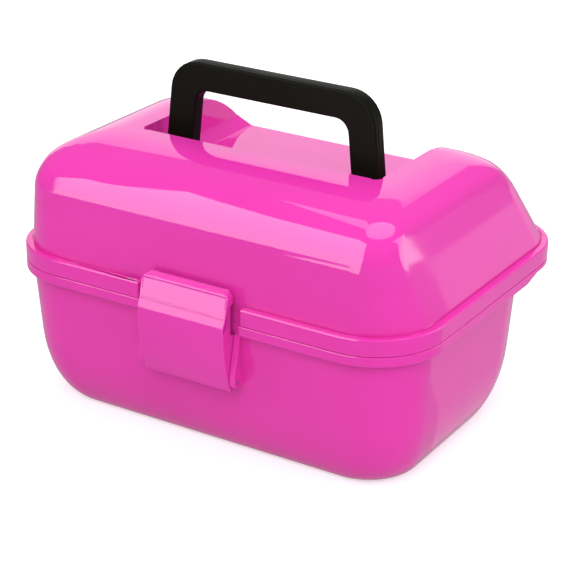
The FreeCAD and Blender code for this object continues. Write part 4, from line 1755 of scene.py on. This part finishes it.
@dataclass(frozen=True)
class Card:
    """Flat panel of the studio that shows only in reflections.

    Args:
        name: Name of the panel.
        centre: Its middle, in metres.
        target: Point that it faces.
        wide: Width.
        high: Height.
        radiance: Its light, 0 for black.
        sides: Sides of the panel, 4 for a rectangle and many for a disc.
    """

    name: str
    centre: Point3
    target: Point3
    wide: float
    high: float
    radiance: float
    sides: int = RECTANGLE

    def stood(self) -> None:
        """Stand the panel up."""
        if self.sides == RECTANGLE:
            bpy.ops.mesh.primitive_plane_add(size=1.0, location=self.centre)
        else:
            shape = {"vertices": self.sides, "radius": 0.5, "fill_type": "NGON"}
            bpy.ops.mesh.primitive_circle_add(location=self.centre, **shape)
        panel = bpy.context.active_object
        panel.scale = (self.wide, self.high, 1.0)
        aim = Vector(self.target) - Vector(self.centre)
        panel.rotation_euler = aim.to_track_quat("Z", "Y").to_euler()
        in_gloss_only(panel, self.name, self.radiance)


@dataclass(frozen=True)
class Sheet:
    """Flat panel of the studio with its own outline, which shows only in reflections.

    Args:
        name: Name of the panel.
        corners: Its corners in order, in metres.
        radiance: Its light.
    """

    name: str
    corners: tuple[Point3, ...]
    radiance: float

    def stood(self) -> None:
        """Put the panel up."""
        in_gloss_only(outlined(self.corners, self.name), self.name, self.radiance)


@dataclass(frozen=True)
class BentSoftbox:
    """Long softbox that bends from the horizon in front of the object to straight above it.

    Args:
        axis: Y and Z of the line that it bends round.
        radius: Its distance from that line.
        left: X of its left end.
        right: Its right end, as pairs of an elevation in degrees and an X.
        low: Elevation of its lower edge, in degrees.
        high: Its upper edge, as pairs of a share of its length and an elevation in degrees.
        radiance: Its light.
        strips: Strips along it and across it.
    """

    axis: Point2 = (-0.1, 0.15)
    radius: float = 1.0
    left: float = -0.83
    right: tuple[Point2, ...] = (
        (-25.0, 0.11),
        (-7.0, 0.22),
        (26.0, 0.25),
        (55.0, 0.086),
        (75.0, -0.035),
        (100.0, -0.2),
    )
    low: float = -9.0
    high: tuple[Point2, ...] = (
        (0.0, 60.0),
        (0.04, 74.0),
        (0.1, 76.0),
        (0.2, 88.0),
        (0.3, 98.0),
        (0.45, 88.0),
        (1.0, 75.0),
    )
    radiance: float = 4.5
    strips: tuple[int, int] = (40, 40)

    def place(self, near: float, along: float) -> Point3:
        """Place of a point of the softbox.

        Args:
            near: Its share of the length, from the left.
            along: Its share of the height, from below.

        Returns:
            The place, in metres.
        """
        angle = self.low + (between(self.high, near) - self.low) * along
        x = self.left + (between(self.right, angle) - self.left) * near
        turn = math.radians(angle)
        return x, self.axis[0] - self.radius * math.cos(turn), self.axis[1] + self.radius * math.sin(turn)

    def stood(self) -> None:
        """Bend the softbox round the object."""
        along, across = self.strips
        bpy.ops.mesh.primitive_grid_add(x_subdivisions=along, y_subdivisions=across, size=1.0)
        sheet = bpy.context.active_object
        for vertex in sheet.data.vertices:
            vertex.co = self.place(vertex.co.x + 0.5, vertex.co.y + 0.5)
        in_gloss_only(sheet, "bent_softbox", self.radiance)


@dataclass(frozen=True)
class Tent:
    """Dark dome round the set, open low down behind the object.

    Args:
        radius: Radius of the dome.
        radiance: Faint light of its cloth.
        opening: First and last azimuth of the opening, in degrees, 0 in front and 90 to the right.
        lean: Degrees of azimuth that the opening loses for each degree of height.
        top: Elevation of the opening's upper edge, in degrees.
        strips: Strips round the dome and up it.
    """

    radius: float = 1.7
    radiance: float = 0.32
    opening: Span = (-180.0, -108.0)
    lean: float = 0.55
    top: float = 39.5
    strips: tuple[int, int] = (120, 90)

    def in_opening(self, direction: Vector) -> bool:
        """Say whether a direction goes through the opening or underground.

        Args:
            direction: The direction from the dome's middle.

        Returns:
            Whether it does.
        """
        azimuth = math.degrees(math.atan2(direction.x, -direction.y))
        elevation = math.degrees(math.asin(direction.normalized().z))
        last = self.opening[1] - self.lean * elevation
        return elevation < 0 or (self.opening[0] <= azimuth <= last and elevation < self.top)

    def pitched(self) -> None:
        """Pitch the tent."""
        around, rings = self.strips
        bpy.ops.mesh.primitive_uv_sphere_add(segments=around, ring_count=rings, radius=self.radius)
        dome = bpy.context.active_object
        pick_faces(dome, lambda co, normal: self.in_opening(co))
        with editing(dome, Pick.FACES):
            bpy.ops.mesh.delete(type="FACE")
        in_gloss_only(dome, "tent", self.radiance)


@dataclass(frozen=True)
class Lamp:
    """Soft area light.

    Args:
        name: Name of the light.
        place: Its middle, in metres.
        target: Point that it shines at.
        size: Side length.
        power: Watts.
    """

    name: str
    place: Point3
    target: Point3
    size: float
    power: float

    def hung(self) -> None:
        """Hang the light."""
        bpy.ops.object.light_add(type="AREA", location=self.place)
        lamp = bpy.context.active_object
        lamp.name = self.name
        lamp.data.size = self.size
        lamp.data.energy = self.power
        lamp.visible_glossy = False
        aim = Vector(self.target) - Vector(self.place)
        lamp.rotation_euler = aim.to_track_quat("-Z", "Y").to_euler()


@dataclass(frozen=True)
class Studio:
    """White studio with soft light, reflection cards and the photograph's camera."""

    azimuth: float = 31.358
    elevation: float = 23.635
    roll: float = 0.769
    distance: float = 1138.914
    shift_x: float = 0.059
    shift_y: float = 16.97
    centre_z: float = 87.0
    focal_px: float = 1849.069
    image_px: float = 576.0
    sensor: float = 36.0
    clip_start: float = 0.05
    lamps: tuple[Lamp, ...] = (
        Lamp("key", (0.5, -1.1, 1.1), (0.0, 0.0, 0.08), 0.9, 11.2),
        Lamp("fill", (-1.2, -0.6, 0.7), (0.0, 0.0, 0.08), 1.0, 5.0),
        Lamp("right", (1.3, 0.1, 0.8), (0.0, 0.0, 0.08), 0.9, 6.0),
        Lamp("top", (0.0, 0.3, 1.5), (0.0, 0.0, 0.1), 1.4, 9.5),
    )
    cards: tuple[Card, ...] = (
        Card("backdrop", (-1.9, 1.9, 0.9), (0.0, 0.0, 0.1), 4.0, 2.4, 1.3),
        Card("top_disc", (0.06, 0.19, 1.13), (0.1, -0.08, 0.16), 0.8, 0.6, 3.0, 32),
    )
    sheets: tuple[Sheet, ...] = (
        Sheet(
            "side_box",
            ((1.161, 0.110, 1.306), (0.736, 0.740, 0.419), (0.735, 0.838, 0.017), (1.016, 0.568, 0.002)),
            3.2,
        ),
        Sheet(
            "top_tail",
            (
                (-0.46, 0.33, 0.96),
                (-0.36, 0.14, 1.07),
                (-0.28, 0.12, 1.08),
                (-0.28, 0.24, 1.03),
                (-0.36, 0.31, 1.0),
            ),
            2.2,
        ),
        Sheet(
            "far_floor",
            ((0.305, 0.205, 0.002), (0.775, 0.9, 0.002), (0.775, 1.6, 0.002), (0.305, 1.6, 0.002)),
            1.05,
        ),
        Sheet(
            "near_floor",
            ((0.125, -0.03, 0.002), (0.305, 0.205, 0.002), (0.305, 1.6, 0.002), (0.125, 1.6, 0.002)),
            0.7,
        ),
        Sheet(
            "front_floor",
            ((-0.25, -1.09, 0.002), (0.25, -1.09, 0.002), (0.115, -0.42, 0.002), (-0.14, -0.44, 0.002)),
            4.5,
        ),
    )
    softbox: BentSoftbox = BentSoftbox()
    tent: Tent = Tent()
    ambient: float = 0.35
    floor_wide: float = 8.0
    floor_grey: float = 0.72
    floor_rough: float = 0.9
    floor_gloss: float = 0.5
    floor_near: Span = (0.5, 0.55)
    floor_far: Span = (1.6, 1.0)

    def camera(self) -> None:
        """Place the camera of the photograph."""
        turn, rise, roll = (math.radians(angle) for angle in (self.azimuth, self.elevation, self.roll))
        back = Vector((math.sin(turn) * math.cos(rise), -math.cos(turn) * math.cos(rise), math.sin(rise)))
        level = Vector((math.cos(turn), math.sin(turn), 0.0))
        steep = back.cross(level)
        right = level * math.cos(roll) + steep * math.sin(roll)
        up = steep * math.cos(roll) - level * math.sin(roll)
        centre = Vector((0.0, 0.0, self.centre_z))
        place = back * self.distance - right * self.shift_x - up * self.shift_y + centre
        bpy.ops.object.camera_add()
        camera = bpy.context.active_object
        turned = Matrix((right, up, back)).transposed().to_4x4()
        turned.translation = place * MM
        camera.matrix_world = turned
        camera.data.sensor_width = self.sensor
        camera.data.lens = self.focal_px * self.sensor / self.image_px
        camera.data.clip_start = self.clip_start
        bpy.context.scene.camera = camera

    def sky(self) -> None:
        """Light the world evenly and show it white behind the object and in its gloss."""
        world = bpy.data.worlds.new("studio")
        bpy.context.scene.world = world
        nodes = Nodes(world)
        path = nodes.add("ShaderNodeLightPath").outputs
        rays = {0: path["Is Glossy Ray"], 1: path["Is Transmission Ray"]}
        clear = nodes.add("ShaderNodeMath", rays, operation="MAXIMUM").outputs["Value"]
        rays = {0: path["Is Camera Ray"], 1: clear}
        shown = nodes.add("ShaderNodeMath", rays, operation="MAXIMUM").outputs["Value"]
        strength = nodes.spread(shown, (0.0, self.ambient), (1.0, 1.0))
        nodes.feed(nodes.tree.nodes["Background"], {"Color": WHITE, "Strength": strength})

    def floor(self) -> None:
        """Lay the pale floor, white where the camera sees it but for the object's shadow."""
        bpy.ops.mesh.primitive_plane_add(size=self.floor_wide)
        floor = bpy.context.active_object
        floor.name = "studio_floor"
        nodes = Nodes(bpy.data.materials.new("studio floor"))
        path = nodes.add("ShaderNodeLightPath").outputs
        away = nodes.add("ShaderNodeVectorMath", {0: nodes.place}, operation="LENGTH").outputs["Value"]
        fade = nodes.spread(away, self.floor_near, self.floor_far)
        glow = nodes.add("ShaderNodeMath", {0: path["Is Camera Ray"], 1: fade}, operation="MULTIPLY")
        values = {
            "Base Color": (self.floor_grey, self.floor_grey, self.floor_grey, 1.0),
            "Roughness": self.floor_rough,
            "Specular IOR Level": 0.0,
            "Emission Color": WHITE,
            "Emission Strength": glow.outputs["Value"],
        }
        nodes.feed(nodes.surface, values)
        mirrored = nodes.add("ShaderNodeEmission", {"Strength": self.floor_gloss}).outputs["Emission"]
        seen = {0: path["Is Glossy Ray"], 1: nodes.surface.outputs["BSDF"], 2: mirrored}
        either = nodes.add("ShaderNodeMixShader", seen)
        nodes.feed(nodes.tree.nodes["Material Output"], {"Surface": either.outputs["Shader"]})
        floor.data.materials.append(nodes.owner)

    def built(self) -> None:
        """Set the whole studio up."""
        scene = bpy.context.scene
        scene.view_settings.view_transform = "Standard"
        self.sky()
        self.floor()
        for lamp in self.lamps:
            lamp.hung()
        for panel in (*self.cards, *self.sheets):
            panel.stood()
        self.softbox.stood()
        self.tent.pitched()
        self.camera()


def cleared() -> None:
    """Remove what Blender's start file brings."""
    ours = [*frame["nodes"].values(), *frame["bodies"].values()]
    for thing in list(bpy.context.scene.objects):
        if thing not in ours and thing.type in {"MESH", "LIGHT", "CAMERA"}:
            bpy.data.objects.remove(thing)


def main() -> None:
    """Build every piece in order, dress the kept solids and set the studio up."""
    logging.basicConfig(level=logging.INFO, format="%(name)s: %(message)s")
    cleared()
    finishes = Finishes.made()
    KeptParts().dressed(finishes)
    form = BoxForm()
    for piece in (BaseTub(form), LidDome(form), CarryHandle(), DropLatch(form)):
        made = piece.built(finishes)
        LOG.info("%s: %d faces", made.name, len(made.data.polygons))
    Studio().built()


if __name__ == "__main__":
    main()
